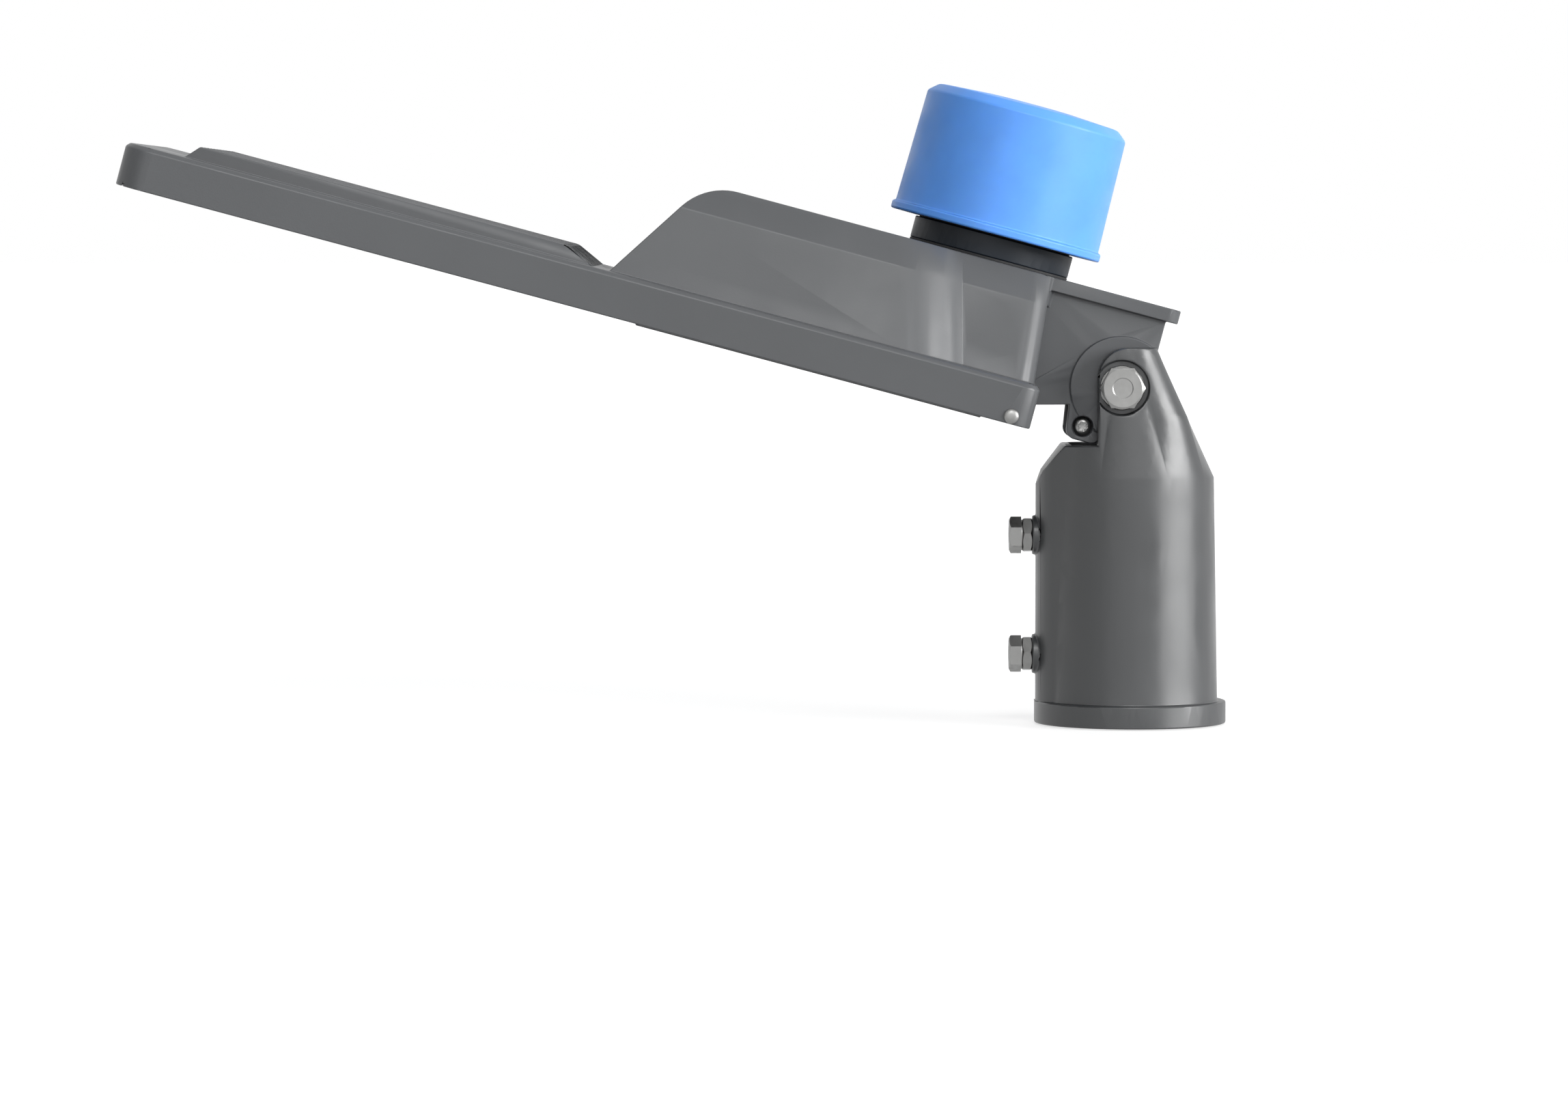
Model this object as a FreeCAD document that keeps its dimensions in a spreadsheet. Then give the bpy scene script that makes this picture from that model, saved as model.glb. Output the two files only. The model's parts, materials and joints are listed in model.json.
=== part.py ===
import FreeCAD, Part
import math
import os
import re
import Sketcher
from FreeCAD import Placement, Rotation, Vector

# Driving sizes in millimetres and degrees.
# The part frame has its origin at the mouth of the pole socket, +Z up the pole, and the head towards -X.
# The head frame is measured from the rear bottom edge of the head: X forward to the tip, Y sideways
# and Z up through the head. It is turned and placed by the tilt joint.
SIZES = {
    # Tilt joint
    "tilt_angle": 15,
    "pivot_setback": 5,
    "pivot_height": 137,
    "pivot_behind": 33.8,
    "pivot_rise": 24.7,
    "pivot_bolt_diameter": 10,
    "ear_bore_clearance": 0.05,
    "tongue_bore_clearance": 0.08,
    "knuckle_gap": 0.4,
    # Pole socket of the adaptor
    "pole_diameter": 60.3,
    "pole_clearance": 0.45,
    "socket_depth": 85,
    "collar_diameter": 78,
    "collar_height": 9,
    "tube_foot_diameter": 71.4,
    "tube_top_diameter": 67.8,
    "clamp_reach": 40,
    "clamp_boss_centre": 16.6,
    "clamp_boss_radius": 22,
    "clamp_pad_diameter": 16,
    "clamp_pad_root": 36,
    "clamp_low": 28,
    "clamp_pitch": 48.4,
    "clamp_screw_diameter": 8,
    "clamp_screw_flats": 13,
    "clamp_head_height": 5.3,
    "clamp_nut_height": 4,
    "clamp_nut_gap": 0.1,
    "clamp_tip_recess": 0.2,
    "clamp_shoulder_break": 3,
    "clamp_front": "=clamp_boss_centre + clamp_boss_radius",
    "clamp_swell_sink": 0.2,
    # Fork of the adaptor, its levels counted from the pivot
    "ear_rise": 16,
    "notch_drop": 23.5,
    "slot_drop": 32,
    "cone_drop": 37,
    "fork_top": "=pivot_height + ear_rise",
    "fork_notch_height": "=pivot_height - notch_drop",
    "fork_slot_floor": "=pivot_height - slot_drop",
    "tube_height": "=pivot_height - cone_drop",
    "fork_half_width": 28,
    "fork_front": 14.5,
    "fork_rear": 8.6,
    "fork_notch_front": 27.5,
    "fork_corner": 10,
    "fork_front_round": 12,
    "cone_overrun": 2,
    "cone_front_slack": 2.5,
    "cone_bulge": 0.2,
    "cone_rear_fall": 0.6,
    "cone_rear_side": 20,
    "cone_front_reach": 26,
    "cone_front_side": 20,
    "cone_corner_follow": 0.7,
    "bolt_seat": 26.5,
    "bolt_seat_diameter": 22,
    "slot_front": 24.4,
    "slot_wall": 3.5,
    "tongue_swing_gap": 1.3,
    "slot_rear_top": "=pivot_height - (tongue_end - pivot_behind) - tongue_swing_gap",
    "cable_hole_diameter": 20,
    "cable_opening_diameter": 13,
    "grommet_flange": 25,
    "grommet_short": 2,
    "grommet_lip": 2,
    "bolt_flats": 16,
    "bolt_head_height": 6.4,
    "bolt_nut_height": 8.4,
    "bolt_thread_end": 2,
    "washer_diameter": 18,
    "washer_thickness": 2,
    # Sizes of the head that others are counted from
    "hump_foot": 176.5,
    "hump_side_margin": 12,
    "hump_width": "=head_width - 2 * hump_side_margin",
    # Tray of the head
    "head_length": 373.6,
    "head_width": 160,
    "tray_height": 17.3,
    "tray_corner": 12,
    "tray_rear_corner": 7,
    "tray_edge": 1.6,
    "wall": 3.2,
    "fin_gap": 6.5,
    "fin_start": "=hump_foot + fin_gap",
    "fin_front_margin": 23.6,
    "fin_end": "=head_length - fin_front_margin",
    "fin_nose": 5,
    "fin_height": 5.5,
    "fin_thickness": 3,
    "fin_count": 11,
    "fin_side_margin": 1,
    "fin_pitch": "=(hump_width - 2 * fin_side_margin) / (fin_count - 1)",
    "fin_tail_radius": 6,
    # Hump over the control gear
    "hump_slope": 57,
    "hump_height": 60.5,
    "shoulder_drop": 11.5,
    "hump_shoulder": "=hump_height - shoulder_drop",
    "hump_chamfer": 10,
    "neck_step": 12,
    "hump_rear_width": "=hump_width - 2 * neck_step",
    "hump_draft": 7,
    "hump_rear_draft": 5.5,
    "hump_rear_corner": 8,
    "brow_radius": 24,
    "neck_front": 58,
    "neck_rear": 31,
    "neck_lean": 0.27,
    "neck_round": 1,
    # Tongue and hood behind the hump
    "tongue_width": 35.6,
    "cheek": 5.5,
    "tongue_end": 44.5,
    "tongue_foot": 8,
    "tongue_top_sink": 1,
    "tongue_chamfer": 5,
    "tongue_step": 7,
    "tongue_foot_front": 1,
    "lug_front": 17.5,
    "lug_rear": 29,
    "lug_drop": 0.5,
    "lug_top": 12.5,
    "lug_slant": 2,
    "lug_round": 4,
    "knuckle_disc_diameter": 41,
    "knuckle_disc_step": 1.2,
    "knuckle_tube_diameter": 20,
    "hood_end": 49.5,
    "hood_width": 40,
    "hood_thickness": 5.5,
    "hood_corner": 5,
    "earth_forward": -23.1,
    "earth_rise": 5.4,
    "earth_screw_diameter": 4,
    "earth_head_diameter": 7.6,
    "earth_head_height": 2.6,
    "earth_sink": 0.2,
    "earth_recess_play": 0.4,
    # Gear opening, ledge and door
    "door_gap": 0.6,
    "door_thickness": 3,
    "door_rear": 6,
    "gear_front_gap": 0.5,
    "gear_front": "=hump_foot - gear_front_gap",
    "ledge_level": 5,
    "ledge_thickness": 5,
    "ledge_rear": 22,
    "ledge_front_width": 13,
    "ledge_front": "=gear_front - ledge_front_width",
    "ledge_margin": 12,
    "ledge_side": "=head_width / 2 - ledge_margin",
    "seal_width": 4,
    "seal_squeeze": 0.2,
    "seal_inset": 0.8,
    "hinge_forward": 8.5,
    "hinge_rise": 3.2,
    "hinge_pin_diameter": 3.2,
    "hinge_pin_clearance": 0.06,
    "hinge_pin_head": 6,
    "hinge_pin_head_height": 1.4,
    "hinge_lug_width": 4.7,
    "hinge_groove_play": 0.8,
    "hinge_groove_reach": 2,
    "latch_inset": 5,
    "latch_forward": "=gear_front - latch_inset",
    "latch_margin": 30,
    "latch_spread": "=head_width - 2 * latch_margin",
    "latch_screw_diameter": 4,
    "latch_head_diameter": 8,
    "latch_head_height": 2.2,
    "latch_reach": 11,
    "screw_hole_clearance": 0.2,
    # Control gear
    "gear_plate_drop": 12,
    "gear_plate_level": "=hump_height - gear_plate_drop",
    "gear_plate_thickness": 1.5,
    "gear_plate_start": 72,
    "gear_plate_length": 76,
    "gear_plate_margin": 14,
    "gear_plate_width": "=hump_width - 2 * gear_plate_margin",
    "gear_boss_diameter": 9,
    "gear_boss_inset": 6,
    "gear_boss_root": 0.3,
    "gear_screw_diameter": 4,
    "gear_screw_head": 7.5,
    "gear_screw_head_height": 2,
    "gear_screw_reach": 5,
    "gear_screw_short": 0.5,
    "driver_gap": 2,
    "driver_length": 44,
    "driver_margin": 11,
    "driver_width": "=gear_plate_width - 2 * driver_margin",
    "driver_height": 30,
    "surge_gap": 3,
    "surge_side": 2,
    "surge_length": 20,
    "surge_screw_gap": 0.25,
    "surge_width": "=gear_plate_width / 2 - surge_side - gear_boss_inset - gear_screw_head / 2"
                   " - surge_screw_gap",
    "surge_height": 26,
    "terminal_gap": 5,
    "terminal_side": 2,
    "terminal_length": 16,
    "terminal_screw_gap": 4.25,
    "terminal_width": "=gear_plate_width / 2 - terminal_side - gear_boss_inset - gear_screw_head / 2"
                      " - terminal_screw_gap",
    "terminal_height": 18,
    "terminal_ways": 3,
    "terminal_way_diameter": 7.2,
    "terminal_way_drop": 7.2,
    "terminal_way_depth": 8.6,
    # Cable gland in the rear wall of the hump
    "gland_rise": 36,
    "gland_seat": 4,
    "gland_boss_reach": 7.6,
    "gland_boss_margin": 1.5,
    "gland_face_margin": 1,
    "gland_thread_end": 2,
    "gland_body_diameter": 12,
    "gland_flange_diameter": 18,
    "gland_bore": 8,
    "gland_dome_length": 13,
    "gland_nut_flats": 17,
    "gland_nut_length": 4,
    # Light engine
    "bezel_gap": 3,
    "bezel_start": "=gear_front + bezel_gap",
    "bezel_margin": 3.2,
    "bezel_thickness": 1.5,
    "bezel_lap": 6,
    "glass_side_margin": 10,
    "glass_start": "=bezel_start + glass_side_margin",
    "glass_front_margin": 10.6,
    "glass_end": "=head_length - glass_front_margin",
    "glass_width": "=head_width - 2 * glass_side_margin",
    "glass_thickness": 3,
    "glass_seal": 1.2,
    "glass_play": 0.5,
    "chamber_inset": 4,
    "chamber_roof": 12.3,
    "board_play": 2,
    "board_thickness": 1.6,
    "led_columns": 6,
    "led_rows": 4,
    "led_end_margin": 22,
    "led_pitch_forward": "=(glass_end - glass_start - 2 * led_end_margin) / (led_columns - 1)",
    "led_side_margin": 25,
    "led_pitch_side": "=(glass_width - 2 * led_side_margin) / (led_rows - 1)",
    "led_side": 5,
    "led_height": 1.2,
    "lens_plate_thickness": 1.6,
    "lens_dome_diameter": 15,
    "lens_dome_height": 2.4,
    "lens_dome_shoulder": 0.6,
    "lens_crown_diameter": 8.3,
    "lens_post_diameter": 8,
    "lens_post_height": 1.5,
    "board_screw_diameter": 3,
    "board_screw_head": 5.6,
    "board_screw_head_height": 1.6,
    "board_screw_reach": 2.4,
    "board_screw_inset": 4,
    "bezel_screw_diameter": 3,
    "bezel_screw_head": 5.6,
    "bezel_screw_head_height": 1.3,
    "bezel_screw_reach": 7,
    "bezel_screw_inset": 4,
    "bezel_screw_end": 4,
    "bezel_screw_count": 4,
    "lead_hole_diameter": 5,
    "lead_hole_side": 30,
    "lead_hole_rise": 9,
    # Photocell and its socket, measured from the top plane of the head
    "cell_forward": 30.8,
    "seat_diameter": 67,
    "seat_depth": 12,
    "socket_diameter": 66,
    "socket_height": 8.9,
    "socket_seal": 1,
    "socket_neck_diameter": 40,
    "socket_neck_depth": 6,
    "socket_neck_clearance": 0.3,
    "slot_inner_radius": 11.5,
    "slot_outer_radius": 14.5,
    "slot_sweep": 72,
    "slot_lead": 21,
    "slot_depth": 12.4,
    "contact_height": 2.6,
    "blade_inner_radius": 12.2,
    "blade_outer_radius": 13.8,
    "blade_width": 7,
    "blade_gap": 1.6,
    "socket_screw_circle": 50,
    "socket_screw_diameter": 4,
    "socket_screw_head": 7,
    "socket_screw_head_height": 2.4,
    "socket_screw_sink": 0.2,
    "socket_screw_play": 0.3,
    "socket_recess_diameter": "=socket_screw_head + 2 * socket_screw_play",
    "socket_screw_reach": 7,
    "socket_hole_spare": 3,
    "cell_seal": 1,
    "cell_seal_margin": 0.9,
    "cell_seal_inner": "=socket_screw_circle + socket_recess_diameter + 2 * cell_seal_margin",
    "cell_seal_inset": 1.5,
    "cell_seal_outer": "=socket_diameter - 2 * cell_seal_inset",
    "cell_rim_diameter": 87.5,
    "cell_rim_height": 3.4,
    "cell_drop": 0.5,
    "cell_body_diameter": 85,
    "cell_top_diameter": 83,
    "cell_height": 55,
    "cell_crown_height": 5,
    "cell_crown_inset": 4,
    "cell_dome_drop": 1.6,
    "cell_dome_radius": 20,
    "cell_dome_rise": 0.4,
    "cell_wall": 2.2,
    "cell_base_thickness": 3,
    "cell_base_play": 0.1,
    "cell_board_thickness": 1.6,
    "cell_board_diameter": 60,
    "cell_pillar_diameter": 6,
    "cell_pillar_height": 10,
    "cell_pillar_circle": 44,
    "cell_relay_length": 20,
    "cell_relay_width": 16,
    "cell_relay_height": 15,
    "cell_sensor_diameter": 5,
    "cell_sensor_height": 3,
    "cell_sensor_offset": 18,
}

document = FreeCAD.newDocument("street_light_head")
sheet = document.addObject("Spreadsheet::Sheet", "Sizes")
for row, alias in enumerate(SIZES, start=1):
    sheet.setAlias(f"A{row}", alias)
for row, value in enumerate(SIZES.values(), start=1):
    sheet.set(f"A{row}", str(value))
document.recompute()

EARTH_SEAT = "tongue_width / 2 - earth_head_height - earth_sink"
ALIAS = re.compile(r"[a-z]+(?:_[a-z]+)+|\bwall\b|\bcheek\b")
AXIS = {"X": Vector(1, 0, 0), "Y": Vector(0, 1, 0), "Z": Vector(0, 0, 1)}
parts = []


def linked(text):
    """Turn a formula written with plain size names into one that reads them from the sheet."""
    return ALIAS.sub(lambda match: "Sizes." + match.group(0), str(text))


def size(text):
    """Value of a formula over the sheet's sizes."""
    return float(sheet.evalExpression(linked(text)))


def bind(feature, **formulas):
    """Tie the feature's properties to formulas over the sheet."""
    for name, text in formulas.items():
        feature.setExpression(name, linked(text))


def place_at(feature, base, rotation=Rotation()):
    """Turn the feature, and tie its position to three formulas."""
    feature.Placement = Placement(Vector(), rotation)
    for letter, text in zip("xyz", base):
        feature.setExpression(f"Placement.Base.{letter}", linked(text))
    return feature


def block(name, low, high):
    """Box between two corners given as formulas."""
    feature = document.addObject("Part::Box", name)
    sides = [f"({top}) - ({bottom})" for bottom, top in zip(low, high)]
    bind(feature, Length=sides[0], Width=sides[1], Height=sides[2])
    return place_at(feature, low)


def rod(name, base, axis, diameter, length, end_diameter=None):
    """Cylinder or cone frustum from the base point along a signed axis such as -Y."""
    direction = AXIS[axis[-1]] * (-1 if axis[0] == "-" else 1)
    if end_diameter is None:
        feature = document.addObject("Part::Cylinder", name)
        bind(feature, Radius=f"({diameter}) / 2", Height=length)
    else:
        feature = document.addObject("Part::Cone", name)
        bind(feature, Radius1=f"({diameter}) / 2", Radius2=f"({end_diameter}) / 2", Height=length)
    return place_at(feature, base, Rotation(AXIS["Z"], direction))


def hexagon(name, base, axis, flats, length):
    """Hexagonal prism, sized across its flats."""
    direction = AXIS[axis[-1]] * (-1 if axis[0] == "-" else 1)
    feature = document.addObject("Part::Prism", name)
    feature.Polygon = 6
    bind(feature, Circumradius=f"({flats}) / 2 / cos(30)", Height=length)
    return place_at(feature, base, Rotation(AXIS["Z"], direction))


def fuse(name, pieces):
    """One solid from several."""
    feature = document.addObject("Part::MultiFuse", name)
    feature.Shapes = pieces
    return feature


def cut(name, base, tools):
    """The base with every tool taken away."""
    feature = document.addObject("Part::Cut", name)
    feature.Base = base
    feature.Tool = tools[0] if len(tools) == 1 else fuse(name + "_tools", tools)
    return feature


def overlap(name, pieces):
    """What all the pieces share."""
    feature = document.addObject("Part::MultiCommon", name)
    feature.Shapes = pieces
    return feature


def gather(name, pieces):
    """A set of separate, like solids."""
    feature = document.addObject("Part::Compound", name)
    feature.Links = pieces
    return feature


def set_shape(name, shape):
    """Feature that holds a shape worked out here."""
    feature = document.addObject("Part::Feature", name)
    feature.Shape = shape
    return feature


def body_with_sketch(name, plane, points):
    """Body with one closed outline on an origin plane, each corner tied to two formulas."""
    body = document.addObject("PartDesign::Body", name)
    sketch = body.newObject("Sketcher::SketchObject", name + "_outline")
    support = [item for item in body.Origin.OriginFeatures if item.Role == plane + "_Plane"][0]
    sketch.AttachmentSupport = [(support, "")]
    sketch.MapMode = "FlatFace"
    corners = [Vector(size(across), size(up), 0) for across, up in points]
    for number, corner in enumerate(corners):
        following = corners[(number + 1) % len(corners)]
        sketch.addGeometry(Part.LineSegment(corner, following))
    for number, (corner, formulas) in enumerate(zip(corners, points)):
        sketch.addConstraint(
            Sketcher.Constraint("Coincident", number, 2, (number + 1) % len(corners), 1)
        )
        for kind, value, formula in zip(("DistanceX", "DistanceY"), corner, formulas):
            index = sketch.addConstraint(Sketcher.Constraint(kind, -1, 1, number, 1, value))
            sketch.setExpression(f"Constraints[{index}]", linked(formula))
    return body, sketch


def prism(name, plane, points, thickness, rounds=()):
    """Outline given thickness: about the XZ plane both ways, or up from the XY plane.

    Each round is a radius and the corners, as outline points, whose edges it rounds.
    """
    body, sketch = body_with_sketch(name, plane, points)
    pad = body.newObject("PartDesign::Pad", name + "_pad")
    pad.Profile = sketch
    pad.SideType = "Symmetric" if plane == "XZ" else "One side"
    bind(pad, Length=thickness)
    document.recompute()
    latest = pad
    for number, (radius, corners) in enumerate(rounds):
        fillet = body.newObject("PartDesign::Fillet", f"{name}_round_{number}")
        fillet.Base = (latest, edges_over(latest.Shape, plane, corners))
        bind(fillet, Radius=radius)
        document.recompute()
        latest = fillet
    return body


def edges_over(shape, plane, corners):
    """Names of the straight edges that stand on the given outline corners."""
    names = []
    for number, edge in enumerate(shape.Edges, start=1):
        start, end = edge.Vertexes[0].Point, edge.Vertexes[-1].Point
        for across, up in corners:
            spot = (size(across), size(up))
            flat = [(point.x, point.z if plane == "XZ" else point.y) for point in (start, end)]
            if all(math.dist(spot, point) < 0.01 for point in flat):
                names.append(f"Edge{number}")
    return names


def turned(name, points):
    """Solid of revolution about Z from an outline of radius and height."""
    body, sketch = body_with_sketch(name, "XZ", points)
    revolution = body.newObject("PartDesign::Revolution", name + "_turn")
    revolution.Profile = sketch
    revolution.ReferenceAxis = (sketch, ["V_Axis"])
    revolution.Angle = 360
    return body


def sector(name, inner, outer, start, sweep, low, high):
    """Stretch of a ring between two angles about Z."""
    pie = document.addObject("Part::Cylinder", name + "_pie")
    bind(pie, Radius=outer, Height=f"({high}) - ({low})", Angle=sweep)
    place_at(pie, ("0", "0", low), Rotation(AXIS["Z"], size(start)))
    core = rod(name + "_core", ("0", "0", f"({low}) - 1"), "Z", f"2 * ({inner})",
               f"({high}) - ({low}) + 2")
    return cut(name, pie, [core])


def headed_screw(name, base, axis, head, head_height, shank, reach):
    """Round-headed screw: the base is under the head, and the axis runs along the shank."""
    back = axis[-1] if axis[0] == "-" else "-" + axis
    return fuse(name, [
        rod(name + "_head", base, back, head, head_height),
        rod(name + "_shank", base, axis, shank, reach),
    ])


def sunk_screw(name, base, axis, head, head_height, shank, reach):
    """Screw with a flush conical head: the base is in its face, and the axis runs along the shank."""
    return fuse(name, [
        rod(name + "_head", base, axis, head, head_height, shank),
        rod(name + "_shank", base, axis, shank, reach),
    ])


def publish(feature, label, frame):
    """Name a finished sub-part and put it where its frame is."""
    if feature.isDerivedFrom("Part::Primitive"):
        feature = gather(label + "_set", [feature])
    feature.Label = label
    feature.Placement = frame
    parts.append(feature)
    return feature


# Where the frames lie
part_frame = Placement()
tilt = Rotation(AXIS["Y"], size("tilt_angle")).multiply(Rotation(AXIS["Z"], 180))
pivot = Placement(Vector(-size("pivot_setback"), 0, size("pivot_height")), tilt)
head_frame = pivot.multiply(Placement(Vector(size("pivot_behind"), 0, -size("pivot_rise")), Rotation()))
cell_frame = head_frame.multiply(
    Placement(Vector(size("cell_forward"), 0, size("hump_height")), Rotation())
)


def cone_rear(level):
    """Formula for how far back the cone's rear wall lies at a height."""
    return ("tube_top_diameter / 2 - (tube_top_diameter / 2 - fork_rear)"
            f" * ({level} - tube_height) / (fork_top + cone_overrun - tube_height)")


def adaptor_cone():
    """Drafted cone that leads from the round tube up to the flat-sided fork."""
    top_radius = size("tube_top_diameter / 2")
    low = size("tube_height")
    middle = size("slot_rear_top")
    high = size("fork_top + cone_overrun")
    front = -size("fork_front + cone_front_slack")
    rear = size("fork_rear")
    half = size("fork_half_width")
    corner = size("fork_corner")

    def ring(level, outline):
        points = [Vector(across, side, level) for across, side in outline]
        edges = [
            Part.Arc(points[index], points[index + 1], points[(index + 2) % len(points)]).toShape()
            for index in range(0, len(points), 2)
        ]
        return Part.Wire(edges)

    def on_circle(degrees):
        angle = math.radians(degrees)
        return top_radius * math.cos(angle), top_radius * math.sin(angle)

    circle = [on_circle(degrees) for degrees in
              (-30, 0, 30, 48, 66, 90, 114, 132, 150, 180, 210, 228, 246, 270, 294, 312)]
    bulge = size("cone_bulge")
    slant = corner * math.sqrt(0.5)
    fork = [
        (rear, -half + corner), (rear + bulge, 0), (rear, half - corner),
        (rear - corner + slant, half - corner + slant), (rear - corner, half),
        ((front + rear) / 2, half + bulge), (front + corner, half),
        (front + corner - slant, half - corner + slant), (front, half - corner),
        (front - bulge, 0), (front, -half + corner),
        (front + corner - slant, -half + corner - slant), (front + corner, -half),
        ((front + rear) / 2, -half - bulge), (rear - corner, -half),
        (rear - corner + slant, -half + corner - slant),
    ]

    # Where the rear wall of the slot ends, the cone is flat behind and in front, so that the ears carry
    # on the line of the wall and the corners of the slot stay inside.
    share = (middle - low) / (high - low)
    waist = [
        (start[0] + share * (end[0] - start[0]), start[1] + share * (end[1] - start[1]))
        for start, end in zip(circle, fork)
    ]
    rear_line = size(cone_rear("slot_rear_top"))
    waist[1] = (rear_line, 0)
    edges = [
        (2, 3, 1, rear_line - size("cone_rear_fall"), size("cone_rear_side")),
        (0, 15, -1, rear_line - size("cone_rear_fall"), size("cone_rear_side")),
        (8, 7, 1, -size("cone_front_reach"), size("cone_front_side")),
        (10, 11, -1, -size("cone_front_reach"), size("cone_front_side")),
    ]
    follow = size("cone_corner_follow")
    for edge, corner_middle, sign, across, side in edges:
        moves = (across - waist[edge][0], sign * side - waist[edge][1])
        waist[edge] = (across, sign * side)
        waist[corner_middle] = tuple(
            place + follow * move for place, move in zip(waist[corner_middle], moves)
        )
    rings = [ring(low, circle), ring(middle, waist), ring(high, fork)]
    return set_shape("adaptor_cone", Part.makeLoft(rings, True, True))


def clamp_swell():
    """Swelling of the tube towards the clamp screws, egg-shaped in plan."""
    boss = rod("clamp_boss", ("-clamp_boss_centre", "0", "0"), "Z", "2 * clamp_boss_radius",
               "fork_notch_height")
    inner_radius = "(tube_top_diameter / 2 - clamp_swell_sink)"
    turn = f"(({inner_radius} - clamp_boss_radius) / clamp_boss_centre)"
    spread = f"sqrt(1 - {turn} * {turn})"
    flank = [
        (f"-{inner_radius} * {turn}", f"{inner_radius} * {spread}"),
        (f"-clamp_boss_centre - clamp_boss_radius * {turn}", f"clamp_boss_radius * {spread}"),
    ]
    mirrored = [(across, "-" + side) for across, side in reversed(flank)]
    return [boss, prism("clamp_cheeks", "XY", flank + mirrored, "fork_notch_height")]


def fork_slot():
    """Slot that the tongue swings in: open above, with a low front wall and a taller rear wall."""
    slot_rear = cone_rear("slot_rear_top") + " - slot_wall"
    return prism("fork_slot", "XZ", [
        ("-slot_front", "fork_slot_floor"),
        (slot_rear, "fork_slot_floor"),
        (slot_rear, "slot_rear_top"),
        ("clamp_reach", "slot_rear_top"),
        ("clamp_reach", "fork_top + cone_overrun"),
        ("-clamp_reach", "fork_top + cone_overrun"),
        ("-clamp_reach", "fork_notch_height"),
        ("-slot_front", "fork_notch_height"),
    ], "tongue_width + 2 * (knuckle_disc_step + knuckle_gap)")


def make_adaptor():
    """Cast pole adaptor with its clamp side, cone and fork."""
    tube = rod("adaptor_tube", ("0", "0", "0"), "Z", "tube_foot_diameter", "tube_height",
               "tube_top_diameter")
    collar = rod("adaptor_collar", ("0", "0", "0"), "Z", "collar_diameter", "collar_height")
    slant = "(clamp_front - fork_notch_front) / (fork_notch_height - tube_height)"
    side_view = prism("adaptor_side", "XZ", [
        ("-collar_diameter", "0"),
        ("collar_diameter", "0"),
        ("collar_diameter", "fork_top"),
        ("-fork_front", "fork_top"),
        ("-fork_front", "fork_notch_height"),
        ("-fork_notch_front", "fork_notch_height"),
        (f"-clamp_front + clamp_shoulder_break * {slant}", "tube_height + clamp_shoulder_break"),
        ("-clamp_front", "tube_height - clamp_shoulder_break"),
        ("-collar_diameter", "tube_height - clamp_shoulder_break"),
    ], "2 * collar_diameter", [("fork_front_round", [("-fork_front", "fork_top")])])
    pads = [
        rod(f"clamp_pad_{number}", ("-clamp_pad_root", "0", f"clamp_low + {number} * clamp_pitch"), "-X",
            "clamp_pad_diameter", "clamp_reach - clamp_pad_root")
        for number in range(2)
    ]
    blank = fuse("adaptor_blank", [tube, collar, adaptor_cone()] + clamp_swell())
    casting = fuse("adaptor_casting", [overlap("adaptor_trimmed", [blank, side_view])] + pads)
    bore = "pole_diameter + 2 * pole_clearance"
    pivot_point = ("-pivot_setback", "-2 * fork_half_width", "pivot_height")
    tools = [
        rod("pole_bore", ("0", "0", "-1"), "Z", bore, "socket_depth + 1"),
        rod("cable_hole", ("0", "0", "socket_depth - 1"), "Z", "cable_hole_diameter",
            "fork_top - socket_depth"),
        fork_slot(),
        rod("pivot_bore", pivot_point, "Y", "pivot_bolt_diameter + 2 * ear_bore_clearance",
            "4 * fork_half_width"),
        rod("near_seat", ("-pivot_setback", "-bolt_seat", "pivot_height"), "-Y", "bolt_seat_diameter",
            "fork_half_width"),
        rod("far_seat", ("-pivot_setback", "bolt_seat", "pivot_height"), "Y", "bolt_seat_diameter",
            "fork_half_width"),
    ]
    for number in range(2):
        tools.append(rod(f"clamp_hole_{number}",
                         ("-clamp_reach - 1", "0", f"clamp_low + {number} * clamp_pitch"), "X",
                         "clamp_screw_diameter", "clamp_reach"))
    publish(cut("adaptor", casting, tools), "spigot_adaptor", part_frame)


def make_clamp_screws():
    """Two hexagon screws that grip the pole, each with a lock nut on its pad."""
    screws = []
    nuts = []
    for number in range(2):
        level = f"clamp_low + {number} * clamp_pitch"
        under_head = ("-clamp_reach - clamp_nut_height - clamp_nut_gap", "0", level)
        shank_length = "clamp_reach + clamp_nut_height + clamp_nut_gap" \
            " - pole_diameter / 2 - pole_clearance - clamp_tip_recess"
        screws.append(fuse(f"clamp_screw_{number}", [
            hexagon(f"clamp_head_{number}", under_head, "-X", "clamp_screw_flats", "clamp_head_height"),
            rod(f"clamp_shank_{number}", under_head, "X", "clamp_screw_diameter", shank_length),
        ]))
        on_pad = ("-clamp_reach", "0", level)
        nuts.append(cut(f"clamp_nut_{number}",
                        hexagon(f"clamp_nut_blank_{number}", on_pad, "-X", "clamp_screw_flats",
                                "clamp_nut_height"),
                        [rod(f"clamp_nut_bore_{number}", ("-2 * clamp_reach", "0", level), "X",
                             "clamp_screw_diameter", "2 * clamp_reach")]))
    publish(gather("clamp_screw_set", screws), "clamp_screws", part_frame)
    publish(gather("clamp_nut_set", nuts), "clamp_lock_nuts", part_frame)


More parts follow.
